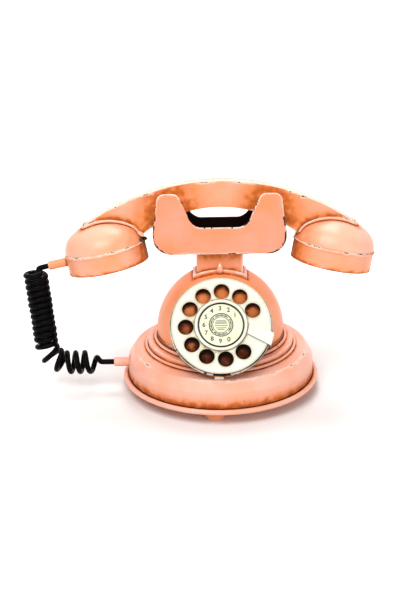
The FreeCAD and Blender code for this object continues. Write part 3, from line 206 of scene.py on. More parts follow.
def new_material(name):
    """An empty material, with its nodes and its object coordinates."""
    material = bpy.data.materials.new(name)
    material.use_nodes = True
    tree = material.node_tree
    tree.nodes.clear()
    return material, tree, node(tree, "ShaderNodeTexCoord").outputs["Object"]


def shaded(material, inputs):
    """Gives a material a shader with these inputs."""
    tree = material.node_tree
    shader = node(tree, "ShaderNodeBsdfPrincipled", inputs)
    node(tree, "ShaderNodeOutputMaterial", {"Surface": shader.outputs["BSDF"]})
    return material


def worn_paint(name, coat, second, rust, deep_rust, pale_wear_and_highlight, gloss, shine):
    """Brushed enamel on sheet metal, rubbed with brown patina.

    The eye sees a soft satin colour that drifts in broad patches, brown that gathers where pieces meet
    together with painted shade where a piece marks it, edges rubbed pale with dark chips, a painted highlight
    on faces that look up, and painted shade that makes inner sides near black.
    """
    material, tree, place = new_material(name)
    soot = linear(TONES["soot"])
    # Noise by the size of its spots in mm, its detail and its roughness
    patches, blotches, flakes, specks, grain = (
        node(tree, "ShaderNodeTexNoise", {"Vector": place, "Scale": 1 / (size * MM), "Detail": detail,
                                          "Roughness": roughness}).outputs["Fac"]
        for size, detail, roughness in (
            (28, 3.0, 0.5), (5, 4.0, 0.5), (5, 4.0, 0.6), (4.5, 4.0, 0.7), (1.5, 4.0, 0.5)))
    grime_and_shade, edge, top_light, inside, sooty = (
        node(tree, "ShaderNodeAttribute", attribute_name=mark_name).outputs["Fac"]
        for mark_name in ("grime_and_shade", "edge", "top_light", "inside", "sooty"))
    # Patina, and the painted shade that the dial's pieces mark in the same mask: strongest in the corners,
    # broken up by the blotches
    broken = node(tree, "ShaderNodeMapRange", {"Value": blotches, "From Min": 0.3, "From Max": 0.7,
                                               "To Min": 0.7, "To Max": 1.4}).outputs["Result"]
    patina_and_shade = node(tree, "ShaderNodeMath", {0: grime_and_shade, 1: broken}, operation="MULTIPLY",
                  use_clamp=True).outputs[0]
    # Edges that hands rub pale, and a painted highlight that makes faces that look up pale
    bare_and_lit = node(tree, "ShaderNodeMath", {0: edge, 1: top_light}, operation="MAXIMUM").outputs[0]
    rubbed_and_lit = node(tree, "ShaderNodeMath", {0: bare_and_lit, 1: blotches}, operation="MULTIPLY").outputs[0]
    # Layers over the first colour: where each one starts and is full, how much it covers, its colour
    colour = coat
    # Where the mask is painted shade, as on the dial's pieces, its brown and near black layers are painted
    # shade and painted shadow
    for value, start, full, most, tone in (
            (patches, 0.38, 0.68, 1.0, second), (patina_and_shade, 0.02, 0.6, 0.97, rust),
            (patina_and_shade, 0.4, 1.0, 0.95, deep_rust), (grime_and_shade, 0.8, 0.92, 0.95, soot),
            (rubbed_and_lit, 0.14, 0.4, 0.8, pale_wear_and_highlight)):
        share = node(tree, "ShaderNodeMapRange", {"Value": value, "From Min": start, "From Max": full,
                                                  "To Max": most}).outputs["Result"]
        colour = node(tree, "ShaderNodeMix", {"Factor": share, "A": colour, "B": tone},
                      data_type="RGBA").outputs["Result"]
    # Dark chips about 5 mm long on sharp edges, most of them where a piece is sooty, and a few dark
    # specks, about 1 mm across and some centimetres apart
    loose = node(tree, "ShaderNodeMath", {0: sooty, 1: 0.13, 2: flakes}, operation="MULTIPLY_ADD").outputs[0]
    weak = node(tree, "ShaderNodeMath", {0: sooty, 1: 1.8, 2: 1.0}, operation="MULTIPLY_ADD").outputs[0]
    prone = node(tree, "ShaderNodeMath", {0: edge, 1: weak}, operation="MULTIPLY").outputs[0]
    flaking, sharp, specked = (
        node(tree, "ShaderNodeMapRange", {"Value": value, "From Min": start, "From Max": full,
                                          "To Max": most}).outputs["Result"]
        for value, start, full, most in (
            (loose, 0.545, 0.57, 0.99), (prone, 0.5, 0.62, 1.0), (specks, 0.72, 0.75, 0.85)))
    chipped = node(tree, "ShaderNodeMath", {0: flaking, 1: sharp}, operation="MULTIPLY").outputs[0]
    flaw = node(tree, "ShaderNodeMath", {0: chipped, 1: specked}, operation="MAXIMUM").outputs[0]
    # Chips and specks in soot colour, and painted shade that makes the cradle's inner sides near black
    for share, tone in ((flaw, soot), (inside, linear("#160C08"))):
        colour = node(tree, "ShaderNodeMix", {"Factor": share, "A": colour, "B": tone},
                      data_type="RGBA").outputs["Result"]
    # Brush grain in the gloss and the relief, duller where there is patina and painted shade
    rough = node(tree, "ShaderNodeMapRange", {"Value": grain, "To Min": gloss - 0.06,
                                              "To Max": gloss + 0.12}).outputs["Result"]
    dull = node(tree, "ShaderNodeMath", {0: patina_and_shade, 1: 0.4, 2: rough}, operation="MULTIPLY_ADD",
                use_clamp=True).outputs[0]
    height = node(tree, "ShaderNodeMath", {0: flaw, 1: -0.5, 2: grain}, operation="MULTIPLY_ADD").outputs[0]
    relief = node(tree, "ShaderNodeBump", {"Height": height, "Strength": 0.25, "Distance": 0.1 * MM})
    return shaded(material, {"Base Color": colour, "Roughness": dull, "Normal": relief.outputs["Normal"],
                             "Specular IOR Level": shine})


def printed_card(name):
    """Varnished card: matt paper with fine fibres, yellowed a little more in soft patches."""
    material, tree, place = new_material(name)
    ageing = node(tree, "ShaderNodeTexNoise", {"Vector": place, "Scale": 1 / (9 * MM), "Detail": 4.0})
    fibre = node(tree, "ShaderNodeTexNoise", {"Vector": place, "Scale": 1 / (0.6 * MM), "Detail": 2.0})
    tone = node(tree, "ShaderNodeMix", {"Factor": ageing.outputs["Fac"], "A": linear(TONES["card"]),
                                        "B": linear("#F5F8DB")}, data_type="RGBA")
    rough = node(tree, "ShaderNodeMapRange", {"Value": fibre.outputs["Fac"], "To Min": 0.5, "To Max": 0.7})
    return shaded(material, {"Base Color": tone.outputs["Result"], "Roughness": rough.outputs["Result"]})


def printed_ink(name):
    """Black printing ink that has sunk unevenly into card."""
    material, tree, place = new_material(name)
    wear = node(tree, "ShaderNodeTexNoise", {"Vector": place, "Scale": 1 / (1.2 * MM), "Detail": 3.0})
    tone = node(tree, "ShaderNodeMix", {"Factor": wear.outputs["Fac"], "A": linear(TONES["ink"]),
                                        "B": linear("#3B382C")}, data_type="RGBA")
    return shaded(material, {"Base Color": tone.outputs["Result"], "Roughness": 0.6})


def cord_vinyl(name):
    """Extruded black vinyl: glossy, with faint dust and fine scuffs along it."""
    material, tree, place = new_material(name)
    dust = node(tree, "ShaderNodeTexNoise", {"Vector": place, "Scale": 1 / (6 * MM), "Detail": 5.0})
    scuff = node(tree, "ShaderNodeTexNoise", {"Vector": place, "Scale": 1 / (0.8 * MM), "Detail": 2.0})
    tone = node(tree, "ShaderNodeMix", {"Factor": dust.outputs["Fac"], "A": linear(TONES["cord"]),
                                        "B": linear("#0B0909")}, data_type="RGBA")
    rough = node(tree, "ShaderNodeMapRange", {"Value": scuff.outputs["Fac"], "To Min": 0.24, "To Max": 0.4})
    relief = node(tree, "ShaderNodeBump", {"Height": scuff.outputs["Fac"], "Strength": 0.08,
                                           "Distance": 0.05 * MM})
    return shaded(material, {"Base Color": tone.outputs["Result"], "Roughness": rough.outputs["Result"],
                             "Normal": relief.outputs["Normal"], "Specular IOR Level": 0.035})


def works_finish(name, tone, dull, metallic):
    """Metal, wrap or moulding of the works: fine tool marks about 1 mm apart, slightly dulled."""
    material, tree, place = new_material(name)
    marks = node(tree, "ShaderNodeTexNoise", {"Vector": place, "Scale": 1 / (1.0 * MM), "Detail": 3.0})
    tarnish = node(tree, "ShaderNodeTexNoise", {"Vector": place, "Scale": 1 / (10 * MM), "Detail": 4.0})
    colour = node(tree, "ShaderNodeMix", {"Factor": tarnish.outputs["Fac"], "A": linear(tone),
                                          "B": linear(dull)}, data_type="RGBA")
    rough = node(tree, "ShaderNodeMapRange", {"Value": marks.outputs["Fac"], "To Min": 0.28, "To Max": 0.5})
    return shaded(material, {"Base Color": colour.outputs["Result"], "Roughness": rough.outputs["Result"],
                             "Metallic": metallic})


FINISH = {}


def make_finishes():
    """Every finish of the telephone, by the slot that it stands for or a name of its own."""
    pink, rust, cream = (tuple(tone) + (1.0,) for tone in (tones().pink, tones().rust, tones().cream))
    shades = {tone: linear(value) for tone, value in TONES.items()}
    brown = (rust, shades["deep_rust"], shades["pale_wear_and_highlight"])
    # Slot, paint, its two colours, the colours of its wear, gloss and shine
    for slot, paint, coat, second, wear, gloss, shine in (
            ("pink_paint", "Pink", pink, shades["salmon"], brown, 0.3, 0.36),
            ("peach_paint", "Peach", shades["peach"], shades["orange"], brown, 0.34, 0.3),
            ("horn_paint", "Coral", shades["coral"], shades["apricot"], brown, 0.34, 0.3),
            ("cradle_paint", "Rose", shades["rose"], shades["amber"], brown, 0.34, 0.3),
            ("cap_paint", "Salmon", shades["salmon"], shades["apricot"], brown, 0.34, 0.3),
            ("cup_paint", "Blush", linear("#F9B79C"), linear("#F7A77F"), brown, 0.3, 0.5),
            ("cream_paint", "Cream", cream, linear("#E8E7DA"),
             (shades["olive"], linear("#3E3518"), linear("#FBFAF0")), 0.36, 0.4),
            # The plate behind the wheel: brown patina, and darker colours as painted shade of the recess it
            # lies in
            ("back_paint", "Browned_and_shaded", linear("#E08344"), linear("#C5672A"),
             (linear("#5E2206"), linear("#270A02"), linear("#D88A50")), 0.5, 0.15)):
        FINISH[slot] = worn_paint(f"{paint}_enamel_on_tinplate", coat, second, *wear, gloss, shine)
    for slot, name, tone, dull, metallic in (
            ("oiled", "Oiled_steel", "#140D0A", "#20140E", 0.0),
            ("steel", "Pressed_steel", "#9B9A97", "#6E6A66", 1.0),
            ("brass", "Turned_brass", "#B8923F", "#7D5F2A", 1.0),
            ("capsule", "Spun_aluminium", "#B9B9B6", "#8E8E8B", 1.0),
            ("coil_wrap", "Varnished_cotton_wrap", "#5A2A14", "#35180C", 0.0),
            ("rubber", "Black_rubber", "#161414", "#262222", 0.0),
            ("moulding", "Phenolic_moulding", "#2A1A12", "#3A2619", 0.0)):
        FINISH[slot] = works_finish(name, tone, dull, metallic)
    FINISH["foot"] = FINISH["peach_paint"]
    FINISH["card"] = printed_card("Varnished_card")
    FINISH["ink"] = printed_ink("Printing_ink")
    FINISH["cord_jacket"] = cord_vinyl("Black_vinyl")


# Modelling helpers

def deselect():
    """Leaves edit mode and selects nothing."""
    if bpy.context.object and bpy.context.object.mode != "OBJECT":
        bpy.ops.object.mode_set(mode="OBJECT")
    bpy.ops.object.select_all(action="DESELECT")


def choose(piece):
    """Makes one piece the selected and active one."""
    deselect()
    piece.select_set(True)
    bpy.context.view_layer.objects.active = piece


def edit(piece):
    """Opens a piece in edit mode, all of it selected."""
    choose(piece)
    bpy.ops.object.mode_set(mode="EDIT")
    bpy.ops.mesh.select_all(action="SELECT")


def name_piece(name):
    """Names the piece that was just made, and its mesh."""
    piece = bpy.context.object
    piece.name = name
    piece.data.name = name
    return piece


def added(name, add, **settings):
    """A shape that one of Blender's own tools adds, under a name."""
    deselect()
    add(**settings)
    return name_piece(name)


def drawn_line(name, points):
    """A line drawn point by point: a single vertex, extruded along. It stays in edit mode."""
    piece = added(name, bpy.ops.mesh.primitive_plane_add, size=MM, location=points[0])
    bpy.ops.object.transform_apply(location=True, rotation=True, scale=True)
    edit(piece)
    bpy.ops.mesh.merge(type="CENTER")
    for here, there in zip(points, points[1:]):
        bpy.ops.mesh.extrude_region_move(TRANSFORM_OT_translate={"value": there - here})
    bpy.ops.mesh.select_all(action="SELECT")
    return piece


def softened(profile):
    """A closed profile in mm whose corners with a third number are rounded by that radius."""
    points = []
    count = len(profile)
    steps = 4
    for number, corner in enumerate(profile):
        here = Vector(corner[:2])
        if len(corner) == 2:
            points.append(here)
            continue
        before = (Vector(profile[number - 1][:2]) - here).normalized()
        after = (Vector(profile[(number + 1) % count][:2]) - here).normalized()
        half = before.angle(after) / 2
        reach = corner[2] / math.tan(half)
        centre = here + (before + after).normalized() * (corner[2] / math.sin(half))
        first = here + before * reach - centre
        last = here + after * reach - centre
        for step in range(steps + 1):
            points.append(centre + first.slerp(last, step / steps).normalized() * corner[2])
    return points


def turned(name, profile, place=None):
    """A piece turned about its own axis from a closed profile of (radius, height) in mm."""
    points = [mm(point[0], 0, point[1]) for point in softened(profile)]
    piece = drawn_line(name, points + points[:1])
    bpy.ops.mesh.remove_doubles(threshold=0.001 * MM)
    bpy.ops.mesh.spin(steps=sizes().steps, angle=2 * math.pi, center=(0, 0, 0), axis=(0, 0, 1))
    close_up(piece)
    if place is not None:
        put(piece, place)
    return piece


def close_up(piece):
    """Merges what meets and turns the faces outwards."""
    edit(piece)
    bpy.ops.mesh.remove_doubles(threshold=0.002 * MM)
    bpy.ops.mesh.normals_make_consistent(inside=False)
    bpy.ops.object.mode_set(mode="OBJECT")


def put(piece, place):
    """Moves a piece to its place, and keeps the place in its mesh."""
    choose(piece)
    piece.matrix_world = place
    bpy.ops.object.transform_apply(location=True, rotation=True, scale=True)
    return piece


def diced(piece, spacing, axes):
    """Cuts a piece by evenly spaced planes, so that wear can follow its surface."""
    edit(piece)
    for axis in axes:
        number = "XYZ".index(axis)
        normal = [0, 0, 0]
        normal[number] = 1
        low = min(vertex.co[number] for vertex in piece.data.vertices)
        high = max(vertex.co[number] for vertex in piece.data.vertices)
        count = max(1, round((high - low) / spacing))
        for step in range(1, count):
            point = [0, 0, 0]
            point[number] = low + (high - low) * step / count
            bpy.ops.mesh.select_all(action="SELECT")
            bpy.ops.mesh.bisect(plane_co=point, plane_no=normal)
    bpy.ops.object.mode_set(mode="OBJECT")


def from_node(name, source, bevel, axes="", spacing=3.0):
    """A copy of a CAD node, its edges rounded by a bevel and its faces cut at a spacing, both in mm."""
    choose(NODES[source])
    bpy.ops.object.duplicate()
    piece = name_piece(name)
    bpy.ops.object.parent_clear(type="CLEAR")
    for key in list(piece.keys()):
        del piece[key]
    edit(piece)
    bpy.ops.mesh.customdata_custom_splitnormals_clear()
    bpy.ops.mesh.remove_doubles(threshold=0.002 * MM)
    bpy.ops.mesh.dissolve_limited(angle_limit=math.radians(1.0))
    bpy.ops.object.mode_set(mode="OBJECT")
    if bevel > 0:
        rounding = piece.modifiers.new("Rounded_edges", "BEVEL")
        rounding.width = bevel * MM
        rounding.segments = 3
        rounding.limit_method = "ANGLE"
        rounding.angle_limit = math.radians(35)
        rounding.use_clamp_overlap = True
        bpy.ops.object.modifier_apply(modifier=rounding.name)
    if axes:
        diced(piece, spacing * MM, axes)
    return piece


def add_spline(curve, points, resolution):
    """Adds a smooth spline from the first to the last of its control points."""
    spline = curve.splines.new("NURBS")
    spline.points.add(len(points) - 1)
    for point, target in zip(spline.points, points):
        point.co = (*target, 1.0)
    spline.order_u = 3
    spline.use_endpoint_u = True
    spline.resolution_u = resolution


def wire(name, points, radius, resolution):
    """A round wire bent along points in metres, its ends closed."""
    path = added(name, bpy.ops.curve.primitive_nurbs_path_add)
    path.location = (0, 0, 0)
    path.data.splines.clear()
    add_spline(path.data, points, resolution)
    path.data.bevel_depth = radius
    path.data.bevel_resolution = 3
    path.data.use_fill_caps = True
    choose(path)
    bpy.ops.object.convert(target="MESH")
    piece = name_piece(name)
    close_up(piece)
    return piece


def spline_points(name, points, resolution):
    """Points along a smooth spline that has the given points as its control points."""
    data = bpy.data.curves.new(name, "CURVE")
    data.dimensions = "3D"
    add_spline(data, points, resolution)
    holder = bpy.data.objects.new(name, data)
    bpy.context.scene.collection.objects.link(holder)
    bpy.context.view_layer.update()
    mesh = bpy.data.meshes.new_from_object(holder)
    found = [vertex.co.copy() for vertex in mesh.vertices]
    bpy.data.objects.remove(holder)
    bpy.data.curves.remove(data)
    bpy.data.meshes.remove(mesh)
    return found


def joined(pieces, name):
    """Several pieces made into one."""
    choose(pieces[0])
    for piece in pieces:
        piece.select_set(True)
    bpy.ops.object.join()
    return name_piece(name)


def dented(piece, depth=None, size=22.0):
    """Pushes a sheet in and out along its normals, as hand-worked metal is: a depth and a size in mm."""
    depth = sizes().dent_depth if depth is None else depth * MM
    shifts = []
    for vertex in piece.data.vertices:
        shifts.append(vertex.normal * (depth * noise.noise(vertex.co / (size * MM))))
    for vertex, shift in zip(piece.data.vertices, shifts):
        vertex.co += shift


def mark(piece, name, values):
    """Keeps one number for each point of a piece, which its finish reads."""
    old = piece.data.attributes.get(name)
    if old:
        piece.data.attributes.remove(old)
    layer = piece.data.attributes.new(name, "FLOAT", "POINT")
    layer.data.foreach_set("value", values)


PIECES = []
WEAR = {}


def finished(piece, body, slot, stands_for=(), finish=None, angle=38.0, ride=True, halo=6.0, rub=1.0,
             soak=1.0, top_highlight=0.0, stain=None):
    """Gives a piece its finish and its body, and hides the nodes that it stands for.

    The halo in mm is how far patina spreads round it, the rub is how worn its edges are, the soak is how
    readily it takes the patina of its neighbours, the top setting is how much painted highlight the faces get
    that look up, which also keeps patina off them, and a stain gives the patina that a point has of its own.
    """
    choose(piece)
    bpy.ops.object.shade_smooth_by_angle(angle=math.radians(angle))
    piece.data.materials.clear()
    piece.data.materials.append(FINISH[finish or slot])
    if ride:
        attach(piece, body)
    if stands_for:
        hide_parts(*stands_for)
    PIECES.append(piece)
    WEAR[piece.name] = (halo * MM, rub, soak, top_highlight, stain)


# Wear, patina and the painted highlight on tops

def edge_wear(piece, rub):
    """How worn each point is, from 0 to 1, by sharp outer edges at it or close to it."""
    mesh = piece.data
    faces_of = {}
    for polygon in mesh.polygons:
        for key in polygon.edge_keys:
            faces_of.setdefault(key, []).append(polygon)
    # Turns between two faces that start to count and count fully, in radians, and the turn in each mm of
    # a rounding of about 0.7 mm, which counts as fully sharp
    least, full, sharp = 0.05, 0.12, 1.4
    bend = [0.0] * len(mesh.vertices)
    for (a, b), pair in faces_of.items():
        if len(pair) != 2:
            continue
        first, second = pair
        turn = first.normal.angle(second.normal, 0.0)
        way = second.center - first.center
        if way.dot(first.normal) < 0 and turn > least:
            value = min(1.0, turn / (way.length / MM) / sharp) * min(1.0, turn / full)
            bend[a] = max(bend[a], value)
            bend[b] = max(bend[b], value)
    spread = list(bend)
    reach = 2.5
    for a, b in faces_of:
        length = (mesh.vertices[a].co - mesh.vertices[b].co).length / MM
        carried = 0.75 * max(0.0, 1 - length / reach)
        spread[a] = max(spread[a], bend[b] * carried)
        spread[b] = max(spread[b], bend[a] * carried)
    # Wear is uneven: some stretches, about 22 mm long, are hardly rubbed
    drift = [noise.noise(vertex.co / (22 * MM)) for vertex in mesh.vertices]
    uneven = [min(1.25, max(0.2, 0.8 + 1.2 * value)) for value in drift]
    return [value * rub * share for value, share in zip(spread, uneven)]


def upward(vertex):
    """How far a point's surface looks up: 1 on a level top, 0 on a side."""
    return within((vertex.normal.z - 0.6) / 0.25)


def weather():
    """Works out where brown patina gathers, where edges are rubbed and how much painted highlight the tops
    get, for every painted piece.
    """
    painted = [piece for piece in PIECES if piece.data.materials[0].name.endswith("tinplate")]
    trees = {}
    boxes = {}
    above = 0.2 * MM
    fading = 1.7
    for piece in PIECES:
        points = [vertex.co for vertex in piece.data.vertices]
        faces = [polygon.vertices for polygon in piece.data.polygons]
        trees[piece.name] = BVHTree.FromPolygons(points, faces)
        boxes[piece.name] = (Vector(min(p[i] for p in points) for i in range(3)),
                             Vector(max(p[i] for p in points) for i in range(3)))
    for piece in painted:
        rub, soak, top_highlight, stain = WEAR[piece.name][1:]
        vertices = piece.data.vertices
        mark(piece, "edge", edge_wear(piece, rub))
        # Painted highlight: faces that look up are painted pale
        mark(piece, "top_light", [top_highlight * upward(vertex) for vertex in vertices])
        # Pieces that carry their own marks already, such as the dial's painted shade, keep them
        if piece.data.attributes.get("grime_and_shade"):
            continue
        low, high = boxes[piece.name]
        near = []
        for other in PIECES:
            reach = WEAR[other.name][0] * soak
            first, last = boxes[other.name]
            if other is not piece and all(first[i] < high[i] + reach and last[i] > low[i] - reach
                                          for i in range(3)):
                near.append((trees[other.name], reach))
        values = []
        for vertex in vertices:
            most = stain(vertex) if stain else 0.0
            for tree, reach in near:
                # From just above the surface, so that what lies behind it doesn't count as touching
                found = tree.find_nearest(vertex.co + vertex.normal * above, reach)
                if found[0] is not None:
                    most = max(most, (1 - found[3] / reach) ** fading)
            # Faces that look up also take less patina, as part of their painted highlight
            values.append(most * (1 - top_highlight * upward(vertex)))
        mark(piece, "grime_and_shade", values)


def seen_directly(tree):
    """1 for what is seen, also in a mirror or through glass, and 0 for what only gives light."""
    rays = node(tree, "ShaderNodeLightPath").outputs
    seen = rays["Is Camera Ray"]
    for other in ("Is Glossy Ray", "Is Transmission Ray"):
        seen = node(tree, "ShaderNodeMath", {0: seen, 1: rays[other]}, operation="MAXIMUM").outputs[0]
    return seen


# Operators, one for each piece or group of like pieces

class PHONE_OT_stage(bpy.types.Operator):
    """Floor, light and camera"""
    bl_idname = "phone.stage"
    bl_label = "Stage"

    def execute(self, context):
        scene = context.scene
        scene.view_settings.view_transform = "Standard"
        floor = added("floor", bpy.ops.mesh.primitive_plane_add, size=6, location=(0, 0, 0))
        material, tree, place = new_material("White_paper")
        # White away from the telephone, and close to it only as bright as its light, to keep the shadow
        away = node(tree, "ShaderNodeVectorMath", {0: place}, operation="LENGTH")
        clear = node(tree, "ShaderNodeMapRange", {"Value": away.outputs["Value"], "From Min": 0.085,
                                                  "From Max": 0.24, "To Max": 0.6})
        lift = node(tree, "ShaderNodeMath", {0: seen_directly(tree), 1: clear.outputs["Result"]},
                    operation="MULTIPLY")
        floor.data.materials.append(shaded(material, {
            "Base Color": linear("#F4F0EE"), "Roughness": 0.55, "Specular IOR Level": 0.2,
            "Emission Color": (1, 1, 1, 1), "Emission Strength": lift.outputs[0]}))
        self.light_world(scene)
        self.add_lamp("key_light", (-0.3, -0.7, 1.2), width=0.9, power=14.0)
        self.add_lamp("fill_light", (0.9, -0.9, 0.4), width=0.7, power=3.0)
        self.add_lamp("back_light", (0.1, 0.6, 1.15), width=0.5, power=7.0)
        self.add_camera(scene)
        return {"FINISHED"}

    def light_world(self, scene):
        """Even white surroundings, dimmer as light than as what is seen."""
        world = bpy.data.worlds.new("White_room")
        scene.world = world
        world.use_nodes = True
        tree = world.node_tree
        tree.nodes.clear()
        level = node(tree, "ShaderNodeMapRange", {"Value": seen_directly(tree), "To Min": 0.43})
        sky = node(tree, "ShaderNodeBackground", {"Color": (1, 1, 1, 1), "Strength": level.outputs["Result"]})
        node(tree, "ShaderNodeOutputWorld", {"Surface": sky.outputs["Background"]})

    def add_lamp(self, name, place, width, power):
        """A square soft light that faces the telephone."""
        lamp = added(name, bpy.ops.object.light_add, type="AREA", location=place)
        lamp.data.size = width
        lamp.data.energy = power
        lamp.rotation_euler = (Vector(place) - mm(0, 0, 80)).to_track_quat("Z", "Y").to_euler()

    def add_camera(self, scene):
        """The photograph's view: 1.3 m away and 22 degrees above the table, tipped by about a degree."""
        above, tip = 22, -0.8
        focal_pixels, photo_pixels, sensor = 1672, 601, 36
        camera = added("camera", bpy.ops.object.camera_add, location=mm(-15.2, -1205.3, 558.5))
        look = Matrix.Rotation(math.radians(90 - above), 4, "X") @ Matrix.Rotation(math.radians(tip), 4, "Z")
        camera.rotation_euler = look.to_euler()
        camera.data.sensor_fit = "VERTICAL"
        camera.data.sensor_height = sensor
        camera.data.lens = focal_pixels * sensor / photo_pixels
        camera.data.clip_end = 20
        scene.camera = camera


class PHONE_OT_finishes(bpy.types.Operator):
    """Finishes, and the CAD nodes that keep their own shape"""
    bl_idname = "phone.finishes"
    bl_label = "Finishes"

    def execute(self, context):
        make_finishes()
        for part in frame["record"]["subparts"]:
            kept = NODES[part["node"]]
            kept.data.materials.clear()
            kept.data.materials.append(FINISH[part["material_slot"]])
        # The carrier takes the near black oiled finish so that it shows as a dark ring round the card:
        # painted shade in the gap between hub ring and card
        NODES["wheel_carrier"].data.materials.clear()
        NODES["wheel_carrier"].data.materials.append(FINISH["oiled"])
        return {"FINISHED"}


class PHONE_OT_cord(bpy.types.Operator):
    """The curly cord and its two glands"""
    bl_idname = "phone.cord"
    bl_label = "Curly cord"

    def execute(self, context):
        start = mm(-131.31, -4.24, 103.77)
        end = mm(-83.6, CORD_DEPTH, GLAND_HEIGHT)
        # Out of the gland, down in a slant, round the bend and level into the base, across and up in mm
        places = [(-141.89, 101.64), (-141.89, 98.04), (-140.45, 84.0), (-139.02, 70.0), (-137.68, 57.0),
                  (-136.62, 46.64), (-135.89, 32.56), (-125.94, GLAND_HEIGHT), (-111.85, GLAND_HEIGHT),
                  (-98.0, GLAND_HEIGHT), (-92.5, GLAND_HEIGHT)]
        route = [start] + [mm(across, CORD_DEPTH, up) for across, up in places] + [end]
        line = spline_points("cord_route", route, 24)
        curls = self.curls(line)
        path = spline_points("cord_line", curls, 4)
        cord = wire("curly_cord", curls, sizes().cord_radius, resolution=3)
        finished(cord, "base", "cord_jacket", ("handset_cord",), ride=False, angle=60, halo=0.5)
        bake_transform(cord)
        boot = self.boot(end)
        sleeve = from_node("handset_cord_sleeve", "handset_gland", 0.35, "X", 2.5)
        finished(sleeve, "handset", "pink_paint", ("handset_gland",), halo=2.5, rub=0.5, finish="cap_paint")
        return {"FINISHED"}

    def curls(self, line):
        """Points of the curls round a line: tight where it hangs, looser where it turns level."""
        lengths = [0.0]
        for here, there in zip(line, line[1:]):
            lengths.append(lengths[-1] + (there - here).length)
        total = lengths[-1]
        curls_start, curls_end = 10.0 * MM, 125.4 * MM
        # Lengths along the line, and the turns made by then
        plan = [(0.0, -0.5), (curls_start, -0.5), (13.4 * MM, 0.0), (72.1 * MM, 12.0), (99.0 * MM, 15.0),
                (113.4 * MM, 17.0), (curls_end, 18.0), (total, 18.0)]
        per_turn = 16
        nudge, longest = 0.1 * MM, 3.0 * MM
        lead_in, lead_out = 3.6 * MM, 9.0 * MM

        def turn_at(length):
            for (low, first), (high, last) in zip(plan, plan[1:]):
                if length <= high:
                    return first + (last - first) * (length - low) / (high - low)
            return plan[-1][1]

        def spot(length):
            for number in range(1, len(lengths)):
                if length <= lengths[number] or number == len(lengths) - 1:
                    share = (length - lengths[number - 1]) / max(1e-9, lengths[number] - lengths[number - 1])
                    way = (line[number] - line[number - 1]).normalized()
                    return line[number - 1].lerp(line[number], share), way

        samples = []
        length = 0.0
        while length < total:
            samples.append(length)
            rate = (turn_at(min(total, length + nudge)) - turn_at(length)) / nudge
            length += min(longest, 1 / (per_turn * rate) if rate > 1e-6 else longest)
        samples.append(total)
        across = Vector((0, 1, 0))
        points = []
        for length in samples:
            centre, way = spot(length)
            side = across.cross(way).normalized()
            turn = turn_at(length)
            grow = within((length - curls_start) / lead_in)
            shrink = within((curls_end - length) / lead_out)
            swell = (1 - math.cos(math.pi * grow)) / 2 * (1 - math.cos(math.pi * shrink)) / 2
            angle = 2 * math.pi * turn - math.pi / 2
            uneven = 1 + 0.05 * noise.noise(Vector((length / (7 * MM), 0.3, 0.7)))
            reach = sizes().coil_radius * swell * uneven
            points.append(centre + (side * math.cos(angle) + across * math.sin(angle)) * reach)
        return points

    def boot(self, end):
        """The painted tube on the base that the cord goes into, with a lip at its mouth."""
        place = Matrix.Translation(Vector((0, end.y, end.z))) @ Matrix.Rotation(math.radians(-90), 4, "Y")
        outside, bore, root, mouth, floor = 3.6, 2.15, 68.5, 83.6, 81.5
        boot = turned("base_cord_sleeve", [
            (0, root), (outside, root), (outside, mouth, 0.4), (bore, mouth, 0.3), (bore, floor), (0, floor)],
            place)
        finished(boot, "base", "pink_paint", ("base_gland",), ride=False, halo=2.5, rub=0.5)
        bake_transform(boot)
        return boot


